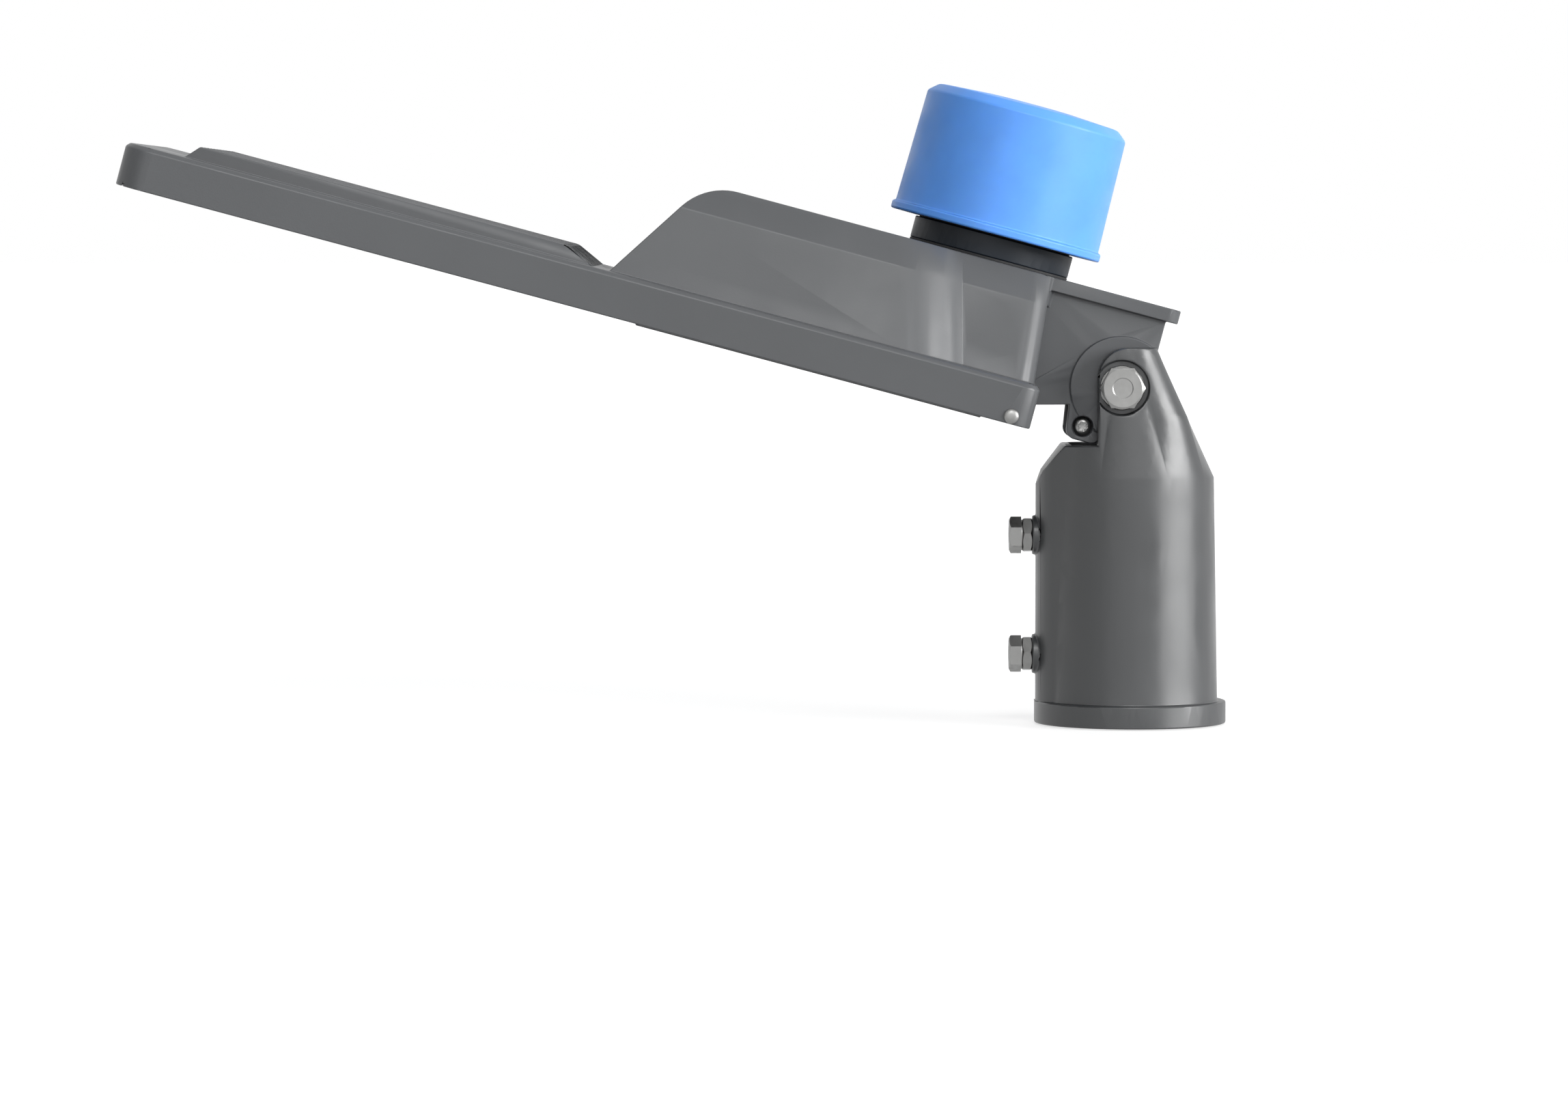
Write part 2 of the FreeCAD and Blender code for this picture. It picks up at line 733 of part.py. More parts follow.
def make_pivot_hardware():
    """Bolt, nut and washers of the tilt joint."""
    washers = []
    for side, axis in (("-", "-Y"), ("", "Y")):
        name = "near_washer" if side else "far_washer"
        seat = ("-pivot_setback", side + "bolt_seat", "pivot_height")
        washers.append(cut(name, rod(name + "_disc", seat, axis, "washer_diameter", "washer_thickness"),
                           [rod(name + "_bore", ("-pivot_setback", side + "bolt_seat / 2", "pivot_height"),
                                axis, "pivot_bolt_diameter", "bolt_seat")]))
    publish(gather("washer_set", washers), "pivot_washers", part_frame)
    under_head = ("-pivot_setback", "-bolt_seat - washer_thickness", "pivot_height")
    bolt_length = "2 * bolt_seat + 2 * washer_thickness + bolt_nut_height + bolt_thread_end"
    publish(fuse("bolt", [
        hexagon("bolt_head", under_head, "-Y", "bolt_flats", "bolt_head_height"),
        rod("bolt_shank", under_head, "Y", "pivot_bolt_diameter", bolt_length),
    ]), "pivot_bolt", part_frame)
    nut_seat = ("-pivot_setback", "bolt_seat + washer_thickness", "pivot_height")
    publish(cut("nut", hexagon("nut_blank", nut_seat, "Y", "bolt_flats", "bolt_nut_height"), [
        rod("nut_bore", ("-pivot_setback", "0", "pivot_height"), "Y", "pivot_bolt_diameter",
            "3 * bolt_seat"),
    ]), "pivot_nut", part_frame)


def make_grommet():
    """Rubber grommet that guides the supply cable through the floor of the fork."""
    publish(turned("grommet", [
        ("cable_opening_diameter / 2", "socket_depth + grommet_short"),
        ("cable_hole_diameter / 2", "socket_depth + grommet_short"),
        ("cable_hole_diameter / 2", "fork_slot_floor"),
        ("grommet_flange / 2", "fork_slot_floor"),
        ("grommet_flange / 2", "fork_slot_floor + grommet_lip"),
        ("cable_opening_diameter / 2", "fork_slot_floor + grommet_lip"),
    ]), "cable_grommet", part_frame)


def hump_outline(level, inset):
    """Plan of the hump at one height: wide over the gear, then an S-curve in to the neck."""
    draft = math.tan(math.radians(size("hump_draft")))
    shoulder = size("hump_shoulder")
    top = size("hump_height")
    lean = (min(level, shoulder) - size("tray_height")) * draft
    lean += max(level - shoulder, 0) / (top - shoulder) * size("hump_chamfer")
    wide = size("hump_width / 2") - lean - inset
    narrow = size("hump_rear_width / 2") - lean - inset
    shift = (level - size("tray_height")) * size("neck_lean") + inset
    bend_front = size("neck_front") + shift
    bend_rear = size("neck_rear") + shift
    rear = level * math.tan(math.radians(size("hump_rear_draft"))) + inset
    front = size("hump_foot + tray_height")
    corner = size("hump_rear_corner")
    half_turn = math.atan((wide - narrow) / (bend_front - bend_rear))
    concave = size("neck_round")
    convex = (bend_front - bend_rear) / math.sin(2 * half_turn) - concave
    middle = Vector(bend_front - convex * math.sin(2 * half_turn),
                    wide - convex * (1 - math.cos(2 * half_turn)), level)
    outer_swell = Vector(bend_front - convex * math.sin(half_turn),
                         wide - convex * (1 - math.cos(half_turn)), level)
    inner_swell = Vector(bend_rear + concave * math.sin(half_turn),
                         narrow + concave * (1 - math.cos(half_turn)), level)
    slack = corner * (1 - math.sqrt(0.5))
    left = [
        Vector(front, wide, level),
        Vector(bend_front, wide, level),
        middle,
        Vector(bend_rear, narrow, level),
        Vector(rear + corner, narrow, level),
        Vector(rear, narrow - corner, level),
    ]
    bends = [None, outer_swell, inner_swell, None, Vector(rear + slack, narrow - slack, level)]

    def mirrored(point):
        return Vector(point.x, -point.y, point.z)

    edges = []
    for start, bend, end in zip(left, bends, left[1:]):
        curve = Part.Arc(start, bend, end) if bend else Part.LineSegment(start, end)
        edges.append(curve.toShape())
    edges.append(Part.LineSegment(left[-1], mirrored(left[-1])).toShape())
    for start, bend, end in reversed(list(zip(left, bends, left[1:]))):
        if bend:
            curve = Part.Arc(mirrored(end), mirrored(bend), mirrored(start))
        else:
            curve = Part.LineSegment(mirrored(end), mirrored(start))
        edges.append(curve.toShape())
    edges.append(Part.LineSegment(mirrored(left[0]), left[0]).toShape())
    return Part.Wire(edges)


def hump_loft(name, low, high, inset):
    """Drafted hump up to its chamfered shoulder and on to its top."""
    levels = [low, size("hump_shoulder"), high]
    wires = [hump_outline(level, inset) for level in levels]
    return set_shape(name, Part.makeLoft(wires, True, True))


def slope_at(level, inset="0"):
    """Formula for how far forward the hump's front slope lies at a height."""
    return f"hump_foot - ({inset}) / sin(hump_slope) - ({level} - tray_height) / tan(hump_slope)"


def make_hump():
    """Outside of the gear compartment."""
    root = "tray_height - 2"
    side_view = prism("hump_side", "XZ", [
        ("-hump_rear_corner", root),
        (slope_at(root), root),
        (slope_at("hump_height"), "hump_height"),
        ("-hump_rear_corner", "hump_height"),
    ], "head_width", [("brow_radius", [(slope_at("hump_height"), "hump_height")])])
    return overlap("hump", [hump_loft("hump_plan", size(root), size("hump_height"), 0), side_view])


def make_gear_space():
    """Hollow of the gear compartment above its ledge."""
    floor = "ledge_level + ledge_thickness"
    roof = "hump_height - wall"
    knee = "tray_height + (hump_foot - wall / sin(hump_slope) - ledge_front) * tan(hump_slope)"
    side_view = prism("gear_side", "XZ", [
        ("-hump_rear_corner", floor),
        ("ledge_front", floor),
        ("ledge_front", knee),
        (slope_at(roof, "wall"), roof),
        ("-hump_rear_corner", roof),
    ], "head_width")
    return overlap("gear_space", [hump_loft("gear_plan", size(floor), size(roof), size("wall")), side_view])


def make_tray():
    """Flat slab that runs under the whole head, with its upper edge broken."""
    half = "head_width / 2"
    front = [("head_length", "-" + half), ("head_length", half)]
    rear = [("0", half), ("0", "-" + half)]
    tray = prism("tray", "XY", front + rear, "tray_height",
                 [("tray_corner", front), ("tray_rear_corner", rear)])
    rounded = tray.Tip
    rim = []
    for number, edge in enumerate(rounded.Shape.Edges, start=1):
        if edge.BoundBox.ZMin > size("tray_height") - 0.01:
            rim.append(f"Edge{number}")
    chamfer = tray.newObject("PartDesign::Chamfer", "tray_edge_break")
    chamfer.Base = (rounded, rim)
    bind(chamfer, Size="tray_edge")
    return tray


def make_fins():
    """Lengthwise cooling fins over the light engine."""
    fins = []
    for number in range(int(size("fin_count"))):
        crest = "tray_height + fin_height"
        root = "tray_height - 1"
        fin = prism(f"fin_{number}", "XZ", [
            ("fin_start", root),
            ("fin_end", root),
            ("fin_end", "tray_height"),
            ("fin_end - fin_nose", crest),
            ("fin_start + 2 * fin_tail_radius", crest),
            ("fin_start", "tray_height"),
        ], "fin_thickness", [("fin_tail_radius", [("fin_start + 2 * fin_tail_radius", crest)])])
        place_at(fin, ("0", f"({number} - (fin_count - 1) / 2) * fin_pitch", "0"))
        fins.append(fin)
    return fins


def wall_middle(level):
    """Formula for the middle of the hump's drafted rear wall at a height."""
    return f"({level}) * tan(hump_rear_draft) + wall / 2"


def make_tongue():
    """Hollow tongue that carries the head on the pivot bolt, with its lug and raised discs."""
    lug_rear = ("-lug_rear", "-lug_drop")
    lug_front = ("-lug_front", "-lug_drop")
    top = "hump_height - tongue_top_sink"
    outline = [
        (wall_middle(top), top),
        ("-tongue_end", top),
        ("-tongue_end", "pivot_rise - tongue_step"),
        ("-tongue_end + tongue_chamfer", "pivot_rise - 2 * tongue_step"),
        lug_rear,
        lug_front,
        ("-lug_front + lug_slant", "lug_top"),
        ("tongue_foot_front", "tongue_foot"),
        (wall_middle("tongue_foot"), "tongue_foot"),
    ]
    solid = prism("tongue_side", "XZ", outline, "tongue_width", [("lug_round", [lug_rear, lug_front])])
    thick = prism("disc_side", "XZ", outline, "tongue_width + 2 * knuckle_disc_step")
    pivot_line = ("-pivot_behind", "-head_width / 2", "pivot_rise")
    disc = rod("knuckle_disc", pivot_line, "Y", "knuckle_disc_diameter", "head_width")
    roof = "hump_height - hood_thickness"
    hollow = prism("tongue_hollow", "XZ", [
        ("gland_seat / 2", "-tongue_foot"),
        ("gland_seat / 2", roof),
        ("-tongue_end + cheek", roof),
        ("-tongue_end + cheek", "pivot_rise"),
        ("-tongue_end - cheek", "pivot_rise"),
        ("-tongue_end - cheek", "-tongue_foot"),
    ], "tongue_width - 2 * cheek")
    tube = rod("knuckle_tube", ("-pivot_behind", "-tongue_width / 2", "pivot_rise"), "Y",
               "knuckle_tube_diameter", "tongue_width")
    skin = fuse("tongue_skin", [solid, overlap("knuckle_discs", [thick, disc])])
    return fuse("tongue", [cut("tongue_shell", skin, [hollow]), tube])


def make_hood():
    """Top plate that runs back over the knuckle as a weather lip."""
    half = "hood_width / 2"
    rear = [("-hood_end", half), ("-hood_end", "-" + half)]
    hood = prism("hood", "XY", [("ledge_rear", "-" + half), ("ledge_rear", half)] + rear,
                 "hood_thickness", [("hood_corner", rear)])
    return place_at(hood, ("0", "0", "hump_height - hood_thickness"))


def latch_spots():
    return [("latch_forward", side + "latch_spread / 2") for side in ("-", "")]


def gear_screw_spots():
    near = "gear_plate_start + gear_boss_inset"
    far = "gear_plate_start + gear_plate_length - gear_boss_inset"
    edge = "(gear_plate_width / 2 - gear_boss_inset)"
    return [(forward, side + edge) for forward in (near, far) for side in ("-", "")]


def board_screw_spots():
    """Places of the screws through the lens plate and board, at its ends and middle."""
    start = "glass_start + chamber_inset + board_play + board_screw_inset"
    end = "glass_end - chamber_inset - board_play - board_screw_inset"
    edge = "(glass_width / 2 - chamber_inset - board_play - board_screw_inset)"
    middle = f"(({start}) + ({end})) / 2"
    return [(forward, side + edge) for forward in (start, middle, end) for side in ("-", "")]


def bezel_screw_spots():
    """Places of the screws that hold the bezel, in its margin outside the glass."""
    start = "bezel_start + bezel_screw_inset + bezel_screw_end"
    end = "head_length - bezel_margin - bezel_screw_inset - bezel_screw_end"
    edge = "(head_width / 2 - bezel_margin - bezel_screw_inset)"
    spots = []
    for number in range(int(size("bezel_screw_count"))):
        forward = f"{start} + {number} / (bezel_screw_count - 1) * ({end} - ({start}))"
        spots += [(forward, side + edge) for side in ("-", "")]
    return spots


def opening_blocks():
    """Stepped recesses in the underside for the gear door and for the light engine."""
    inside = "(head_width / 2 - bezel_margin)"
    glass_level = "bezel_thickness + glass_thickness + glass_seal"
    pane = "glass_width / 2"
    chamber = "(glass_width / 2 - chamber_inset)"
    return [
        block("door_recess", ("wall", "-head_width / 2 + wall", "-1"),
              ("gear_front", "head_width / 2 - wall", "ledge_level")),
        block("gear_opening", ("ledge_rear", "-ledge_side", "0"),
              ("ledge_front", "ledge_side", "tray_height - wall")),
        block("bezel_recess", ("bezel_start", "-" + inside, "-1"),
              ("head_length - bezel_margin", inside, "bezel_thickness")),
        block("glass_recess", ("glass_start", "-" + pane, "0"), ("glass_end", pane, glass_level)),
        block("light_chamber", ("glass_start + chamber_inset", "-" + chamber, "0"),
              ("glass_end - chamber_inset", chamber, "chamber_roof")),
    ]


def make_housing():
    """Die-cast body of the head."""
    seat = rod("socket_seat", ("cell_forward", "0", "hump_height - seat_depth"), "Z", "seat_diameter",
               "seat_depth")
    gland_boss = rod("gland_boss", ("0", "0", "gland_rise"), "X",
                     "gland_flange_diameter + 2 * gland_boss_margin", "gland_boss_reach")
    hump = make_hump()
    outside = fuse("head_outside", [make_tray(), hump, make_hood(), seat] + make_fins())
    hollow = cut("head_shell", outside, [make_gear_space()] + opening_blocks())
    bosses = []
    tools = [
        rod("gland_spot_face", ("gland_seat", "0", "gland_rise"), "-X",
            "gland_flange_diameter + 2 * gland_face_margin", "hood_end"),
        rod("gland_hole", ("-1", "0", "gland_rise"), "X", "gland_body_diameter", "ledge_rear"),
        rod("tongue_bore", ("-pivot_behind", "-head_width / 2", "pivot_rise"), "Y",
            "pivot_bolt_diameter + 2 * tongue_bore_clearance", "head_width"),
        rod("socket_neck_hole", ("cell_forward", "0", "hump_height - seat_depth - 1"), "Z",
            "socket_neck_diameter + 2 * socket_neck_clearance", "seat_depth + 2"),
        rod("lead_hole", ("ledge_front - 1", "lead_hole_side", "lead_hole_rise"), "X",
            "lead_hole_diameter", "glass_start + chamber_inset - ledge_front + 2"),
        rod("earth_recess", ("earth_forward", EARTH_SEAT, "earth_rise"), "Y",
            "earth_head_diameter + 2 * earth_recess_play", "head_width / 2"),
        rod("earth_hole", ("earth_forward", "tongue_width / 2", "earth_rise"), "-Y",
            "earth_screw_diameter", "tongue_width / 2"),
    ]
    tools.append(block("hinge_groove", ("wall", "-head_width / 2 + wall", "0"),
                       ("hinge_forward + hinge_rise + hinge_groove_reach", "head_width / 2 - wall",
                        "2 * hinge_rise + hinge_groove_play")))
    for side in ("-", ""):
        tools.append(rod(f"hinge_hole_{len(tools)}", ("hinge_forward", side + "ledge_side", "hinge_rise"),
                         side + "Y", "hinge_pin_diameter", "head_width / 2"))
        spot = ("cell_forward", side + "socket_screw_circle / 2",
                "hump_height + socket_seal - socket_hole_spare - socket_screw_reach")
        tools.append(rod(f"socket_screw_hole_{len(tools)}", spot, "Z", "socket_screw_diameter",
                         "seat_depth + socket_screw_reach"))
    for forward, side in latch_spots():
        tools.append(rod(f"latch_hole_{len(tools)}", (forward, side, "0"), "Z",
                         "latch_screw_diameter + 2 * screw_hole_clearance", "latch_reach + 1"))
    for forward, side in gear_screw_spots():
        underside = "gear_plate_level + gear_plate_thickness"
        bosses.append(rod(f"gear_boss_{len(bosses)}", (forward, side, underside), "Z",
                          "gear_boss_diameter", f"hump_height - wall + gear_boss_root - ({underside})"))
        tools.append(rod(f"gear_hole_{len(tools)}", (forward, side, f"{underside} - 1"), "Z",
                         "gear_screw_diameter", "gear_screw_reach + 1"))
    for forward, side in board_screw_spots():
        tools.append(rod(f"board_hole_{len(tools)}", (forward, side, "chamber_roof - 1"), "Z",
                         "board_screw_diameter", "board_screw_reach + 1"))
    for forward, side in bezel_screw_spots():
        tools.append(rod(f"bezel_hole_{len(tools)}", (forward, side, "0"), "Z",
                         "bezel_screw_diameter", "bezel_thickness + bezel_screw_reach"))
    inside_bosses = overlap("gear_bosses", [fuse("gear_boss_rods", bosses), hump])
    whole = fuse("head_whole", [hollow, make_tongue(), gland_boss, inside_bosses])
    publish(cut("head_casting", whole, tools), "housing", head_frame)


def frame_ring(name, outer_low, outer_high, inner_low, inner_high):
    """Flat rectangular ring between two boxes."""
    return cut(name, block(name + "_outer", outer_low, outer_high),
               [block(name + "_inner", inner_low, inner_high)])


def make_light_engine():
    """LED board, lens plate, glass, seal and bezel in the underside of the slab."""
    start = "(glass_start + chamber_inset + board_play)"
    end = "(glass_end - chamber_inset - board_play)"
    edge = "(glass_width / 2 - chamber_inset - board_play)"
    board_under = "chamber_roof - board_thickness"
    board_holes = []
    plate_pieces = []
    plate_holes = []
    screws = []
    plate_top = f"{board_under} - lens_post_height"
    plate_under = f"{plate_top} - lens_plate_thickness"
    for number, (forward, side) in enumerate(board_screw_spots()):
        board_holes.append(rod(f"board_screw_hole_{number}", (forward, side, "0"), "Z",
                               "board_screw_diameter + 2 * screw_hole_clearance", "tray_height"))
        plate_pieces.append(rod(f"lens_post_{number}", (forward, side, plate_top), "Z",
                                "lens_post_diameter", "lens_post_height"))
        plate_holes.append(rod(f"lens_screw_hole_{number}", (forward, side, "0"), "Z",
                               "board_screw_diameter + 2 * screw_hole_clearance", "tray_height"))
        screws.append(headed_screw(f"board_screw_{number}", (forward, side, plate_under), "Z",
                                   "board_screw_head", "board_screw_head_height", "board_screw_diameter",
                                   f"chamber_roof + board_screw_reach - ({plate_under})"))
    leads = rod("board_lead_hole", (f"{start} + lead_hole_diameter", "lead_hole_side", "0"), "Z",
                "lead_hole_diameter", "tray_height")
    board = block("board_sheet", (start, "-" + edge, board_under), (end, edge, "chamber_roof"))
    publish(cut("board", board, board_holes + [leads]), "led_board", head_frame)

    leds = []
    middle = f"({start} + {end}) / 2"
    for column in range(int(size("led_columns"))):
        for row in range(int(size("led_rows"))):
            forward = f"{middle} + ({column} - (led_columns - 1) / 2) * led_pitch_forward"
            side = f"({row} - (led_rows - 1) / 2) * led_pitch_side"
            leds.append(block(f"led_{column}_{row}",
                              (f"{forward} - led_side / 2", f"{side} - led_side / 2",
                               f"{board_under} - led_height"),
                              (f"{forward} + led_side / 2", f"{side} + led_side / 2", board_under)))
            shoulder = f"{plate_under} - lens_dome_shoulder"
            plate_pieces.append(rod(f"lens_foot_{column}_{row}", (forward, side, plate_under), "-Z",
                                    "lens_dome_diameter", "lens_dome_shoulder"))
            plate_pieces.append(rod(f"lens_dome_{column}_{row}", (forward, side, shoulder), "-Z",
                                    "lens_dome_diameter", "lens_dome_height - lens_dome_shoulder",
                                    "lens_crown_diameter"))
    publish(gather("led_set", leds), "led_packages", head_frame)
    sheet_of_lens = block("lens_sheet", (start, "-" + edge, plate_under), (end, edge, plate_top))
    publish(cut("lenses", fuse("lens_blank", [sheet_of_lens] + plate_pieces), plate_holes), "lens_plate",
            head_frame)
    publish(gather("board_screw_set", screws), "board_screws", head_frame)

    pane = "(glass_width / 2 - glass_play)"
    lip = "(glass_width / 2 - chamber_inset + glass_play)"
    seal_low = "bezel_thickness + glass_thickness"
    publish(block("glass", ("glass_start + glass_play", "-" + pane, "bezel_thickness"),
                  ("glass_end - glass_play", pane, seal_low)), "cover_glass", head_frame)
    publish(frame_ring("glass_gasket",
                       ("glass_start + glass_play", "-" + pane, seal_low),
                       ("glass_end - glass_play", pane, f"{seal_low} + glass_seal"),
                       ("glass_start + chamber_inset - glass_play", "-" + lip, "0"),
                       ("glass_end - chamber_inset + glass_play", lip, "tray_height")),
            "glass_seal", head_frame)
    outside = "(head_width / 2 - bezel_margin - glass_play)"
    inside = "(glass_width / 2 - bezel_lap)"
    ring = frame_ring("bezel_sheet",
                      ("bezel_start + glass_play", "-" + outside, "0"),
                      ("head_length - bezel_margin - glass_play", outside, "bezel_thickness"),
                      ("glass_start + bezel_lap", "-" + inside, "-1"),
                      ("glass_end - bezel_lap", inside, "tray_height"))
    bezel_holes = []
    bezel_screws = []
    for number, (forward, side) in enumerate(bezel_screw_spots()):
        bezel_holes.append(sunk_screw(f"bezel_screw_hole_{number}", (forward, side, "0"), "Z",
                                      "bezel_screw_head", "bezel_screw_head_height",
                                      "bezel_screw_diameter", "tray_height"))
        bezel_screws.append(sunk_screw(f"bezel_screw_{number}", (forward, side, "0"), "Z",
                                       "bezel_screw_head", "bezel_screw_head_height",
                                       "bezel_screw_diameter", "bezel_screw_reach"))
    publish(cut("bezel", ring, bezel_holes), "glass_bezel", head_frame)
    publish(gather("bezel_screw_set", bezel_screws), "bezel_screws", head_frame)


def make_door():
    """Gear door with its hinge lugs, and the two captive screws that hold it shut."""
    half = "(head_width / 2 - wall - door_gap)"
    pieces = [block("door_sheet", ("door_rear", "-" + half, "0"),
                    ("gear_front - door_gap", half, "door_thickness"))]
    holes = []
    pins = []
    screws = []
    for side in ("-", ""):
        number = len(pins)
        lug_start = side + "(head_width / 2 - wall - door_gap - hinge_lug_width)"
        pieces.append(rod(f"hinge_lug_{number}", ("hinge_forward", lug_start, "hinge_rise"), side + "Y",
                          "2 * hinge_rise", "hinge_lug_width"))
        holes.append(rod(f"hinge_bore_{number}", ("hinge_forward", side + "ledge_side", "hinge_rise"),
                         side + "Y", "hinge_pin_diameter + 2 * hinge_pin_clearance", "head_width / 2"))
        pins.append(headed_screw(f"hinge_pin_{number}",
                                 ("hinge_forward", side + "head_width / 2", "hinge_rise"),
                                 "Y" if side else "-Y", "hinge_pin_head", "hinge_pin_head_height",
                                 "hinge_pin_diameter", "wall + door_gap + hinge_lug_width"))
    for number, (forward, side) in enumerate(latch_spots()):
        holes.append(sunk_screw(f"latch_seat_{number}", (forward, side, "0"), "Z",
                                "latch_head_diameter", "latch_head_height", "latch_screw_diameter",
                                "tray_height"))
        screws.append(sunk_screw(f"latch_screw_{number}", (forward, side, "0"), "Z",
                                 "latch_head_diameter", "latch_head_height", "latch_screw_diameter",
                                 "latch_reach"))
    publish(cut("door", fuse("door_blank", pieces), holes), "gear_door", head_frame)
    publish(gather("hinge_pin_set", pins), "hinge_pins", head_frame)
    publish(gather("latch_screw_set", screws), "door_screws", head_frame)
    inner_side = "(ledge_side + seal_inset)"
    outer_side = "(ledge_side + seal_inset + seal_width)"
    publish(frame_ring("door_gasket",
                       ("ledge_rear - seal_inset - seal_width", "-" + outer_side,
                        "door_thickness + seal_squeeze"),
                       ("ledge_front + seal_inset + seal_width", outer_side, "ledge_level"),
                       ("ledge_rear - seal_inset", "-" + inner_side, "0"),
                       ("ledge_front + seal_inset", inner_side, "tray_height")),
            "door_seal", head_frame)


def make_control_gear():
    """Gear plate under the roof of the hump, with the driver, surge protector and terminal block."""
    start = "gear_plate_start"
    end = "gear_plate_start + gear_plate_length"
    half = "gear_plate_width / 2"
    top = "gear_plate_level + gear_plate_thickness"
    holes = []
    screws = []
    for number, (forward, side) in enumerate(gear_screw_spots()):
        holes.append(rod(f"plate_hole_{number}", (forward, side, "gear_plate_level - 1"), "Z",
                         "gear_screw_diameter + 2 * screw_hole_clearance", "gear_plate_thickness + 2"))
        screws.append(headed_screw(f"gear_screw_{number}", (forward, side, "gear_plate_level"), "Z",
                                   "gear_screw_head", "gear_screw_head_height", "gear_screw_diameter",
                                   "gear_plate_thickness + gear_screw_reach - gear_screw_short"))
    plate = block("plate_sheet", (start, "-" + half, "gear_plate_level"), (end, half, top))
    publish(cut("plate", plate, holes), "gear_plate", head_frame)
    publish(gather("gear_screw_set", screws), "gear_plate_screws", head_frame)
    driver_end = f"{end} - driver_gap"
    publish(block("driver_case",
                  (f"{driver_end} - driver_length", "-driver_width / 2", "gear_plate_level - driver_height"),
                  (driver_end, "driver_width / 2", "gear_plate_level")), "driver", head_frame)
    surge_start = f"{start} + surge_gap"
    publish(block("surge_case", (surge_start, "surge_side", "gear_plate_level - surge_height"),
                  (f"{surge_start} + surge_length", "surge_side + surge_width", "gear_plate_level")),
            "surge_protector", head_frame)
    terminal_start = f"{start} + terminal_gap"
    terminal = block("terminal_case",
                     (terminal_start, "-terminal_side - terminal_width",
                      "gear_plate_level - terminal_height"),
                     (f"{terminal_start} + terminal_length", "-terminal_side", "gear_plate_level"))
    ways = []
    for number in range(int(size("terminal_ways"))):
        side = f"-terminal_side - terminal_width * {number + 0.5} / terminal_ways"
        ways.append(rod(f"terminal_way_{number}",
                        (f"{terminal_start} - 1", side, "gear_plate_level - terminal_way_drop"), "X",
                        "terminal_way_diameter", "terminal_way_depth + 1"))
    publish(cut("terminals", terminal, ways), "terminal_block", head_frame)


def make_gland():
    """Cable gland in the rear wall of the hump, with its lock nut."""
    height = "gland_rise"
    body = fuse("gland_solid", [
        rod("gland_flange", ("gland_seat", "0", height), "-X", "gland_flange_diameter",
            "gland_dome_length / 2"),
        rod("gland_dome", ("gland_seat - gland_dome_length / 2", "0", height), "-X",
            "gland_flange_diameter", "gland_dome_length / 2", "gland_body_diameter"),
        rod("gland_thread", ("gland_seat - 1", "0", height), "X", "gland_body_diameter",
            "1 + gland_boss_reach - gland_seat + gland_nut_length + gland_thread_end"),
    ])
    bore = rod("gland_bore_tool", ("-hood_end", "0", height), "X", "gland_bore", "2 * hood_end")
    publish(cut("gland", body, [bore]), "cable_gland", head_frame)
    nut = hexagon("gland_nut_blank", ("gland_boss_reach", "0", height), "X", "gland_nut_flats",
                  "gland_nut_length")
    hole = rod("gland_nut_bore", ("0", "0", height), "X", "gland_body_diameter", "2 * ledge_rear")
    publish(cut("gland_ring", nut, [hole]), "gland_nut", head_frame)


def make_earth_screw():
    """Earthing screw sunk in the lug below the knuckle."""
    publish(headed_screw("earth", ("earth_forward", EARTH_SEAT, "earth_rise"), "-Y",
                         "earth_head_diameter", "earth_head_height", "earth_screw_diameter", "cheek"),
            "earth_screw", head_frame)


def make_socket():
    """Twist-lock socket on the head, with its seal, contacts and screws."""
    socket_top = "socket_seal + socket_height"
    floor = f"{socket_top} - slot_depth"
    blank = turned("socket_blank", [
        ("0", "-socket_neck_depth"),
        ("socket_neck_diameter / 2", "-socket_neck_depth"),
        ("socket_neck_diameter / 2", "socket_seal"),
        ("socket_diameter / 2", "socket_seal"),
        ("socket_diameter / 2", socket_top),
        ("0", socket_top),
    ])
    tools = []
    contacts = []
    for number in range(3):
        turn = f"{number * 120} - slot_lead"
        tools.append(sector(f"blade_slot_{number}", "slot_inner_radius", "slot_outer_radius", turn,
                            "slot_sweep", floor, f"{socket_top} + 1"))
        contacts.append(sector(f"contact_{number}", "slot_inner_radius", "slot_outer_radius", turn,
                               "slot_sweep", floor, f"{floor} + contact_height"))
    screws = []
    for number, side in enumerate(("-", "")):
        spot = side + "socket_screw_circle / 2"
        seat = f"{socket_top} - socket_screw_head_height - socket_screw_sink"
        tools.append(rod(f"socket_recess_{number}", ("0", spot, seat), "Z", "socket_recess_diameter",
                         "socket_height"))
        tools.append(rod(f"socket_hole_{number}", ("0", spot, "-socket_height"), "Z",
                         "socket_screw_diameter + 2 * screw_hole_clearance", "3 * socket_height"))
        screws.append(headed_screw(f"socket_screw_{number}", ("0", spot, seat), "-Z",
                                   "socket_screw_head", "socket_screw_head_height",
                                   "socket_screw_diameter", f"{seat} + socket_screw_reach"))
    publish(cut("socket_body", blank, tools), "photocell_socket", cell_frame)
    publish(gather("contact_set", contacts), "socket_contacts", cell_frame)
    publish(gather("socket_screw_set", screws), "socket_screws", cell_frame)
    ring = turned("socket_ring", [
        ("socket_neck_diameter / 2 + socket_neck_clearance", "0"),
        ("socket_diameter / 2", "0"),
        ("socket_diameter / 2", "socket_seal"),
        ("socket_neck_diameter / 2 + socket_neck_clearance", "socket_seal"),
    ])
    holes = [rod(f"ring_hole_{number}", ("0", side + "socket_screw_circle / 2", "-1"), "Z",
                 "socket_screw_diameter + 2 * screw_hole_clearance", "socket_seal + 2")
             for number, side in enumerate(("-", ""))]
    publish(cut("socket_gasket", ring, holes), "socket_seal_ring", cell_frame)


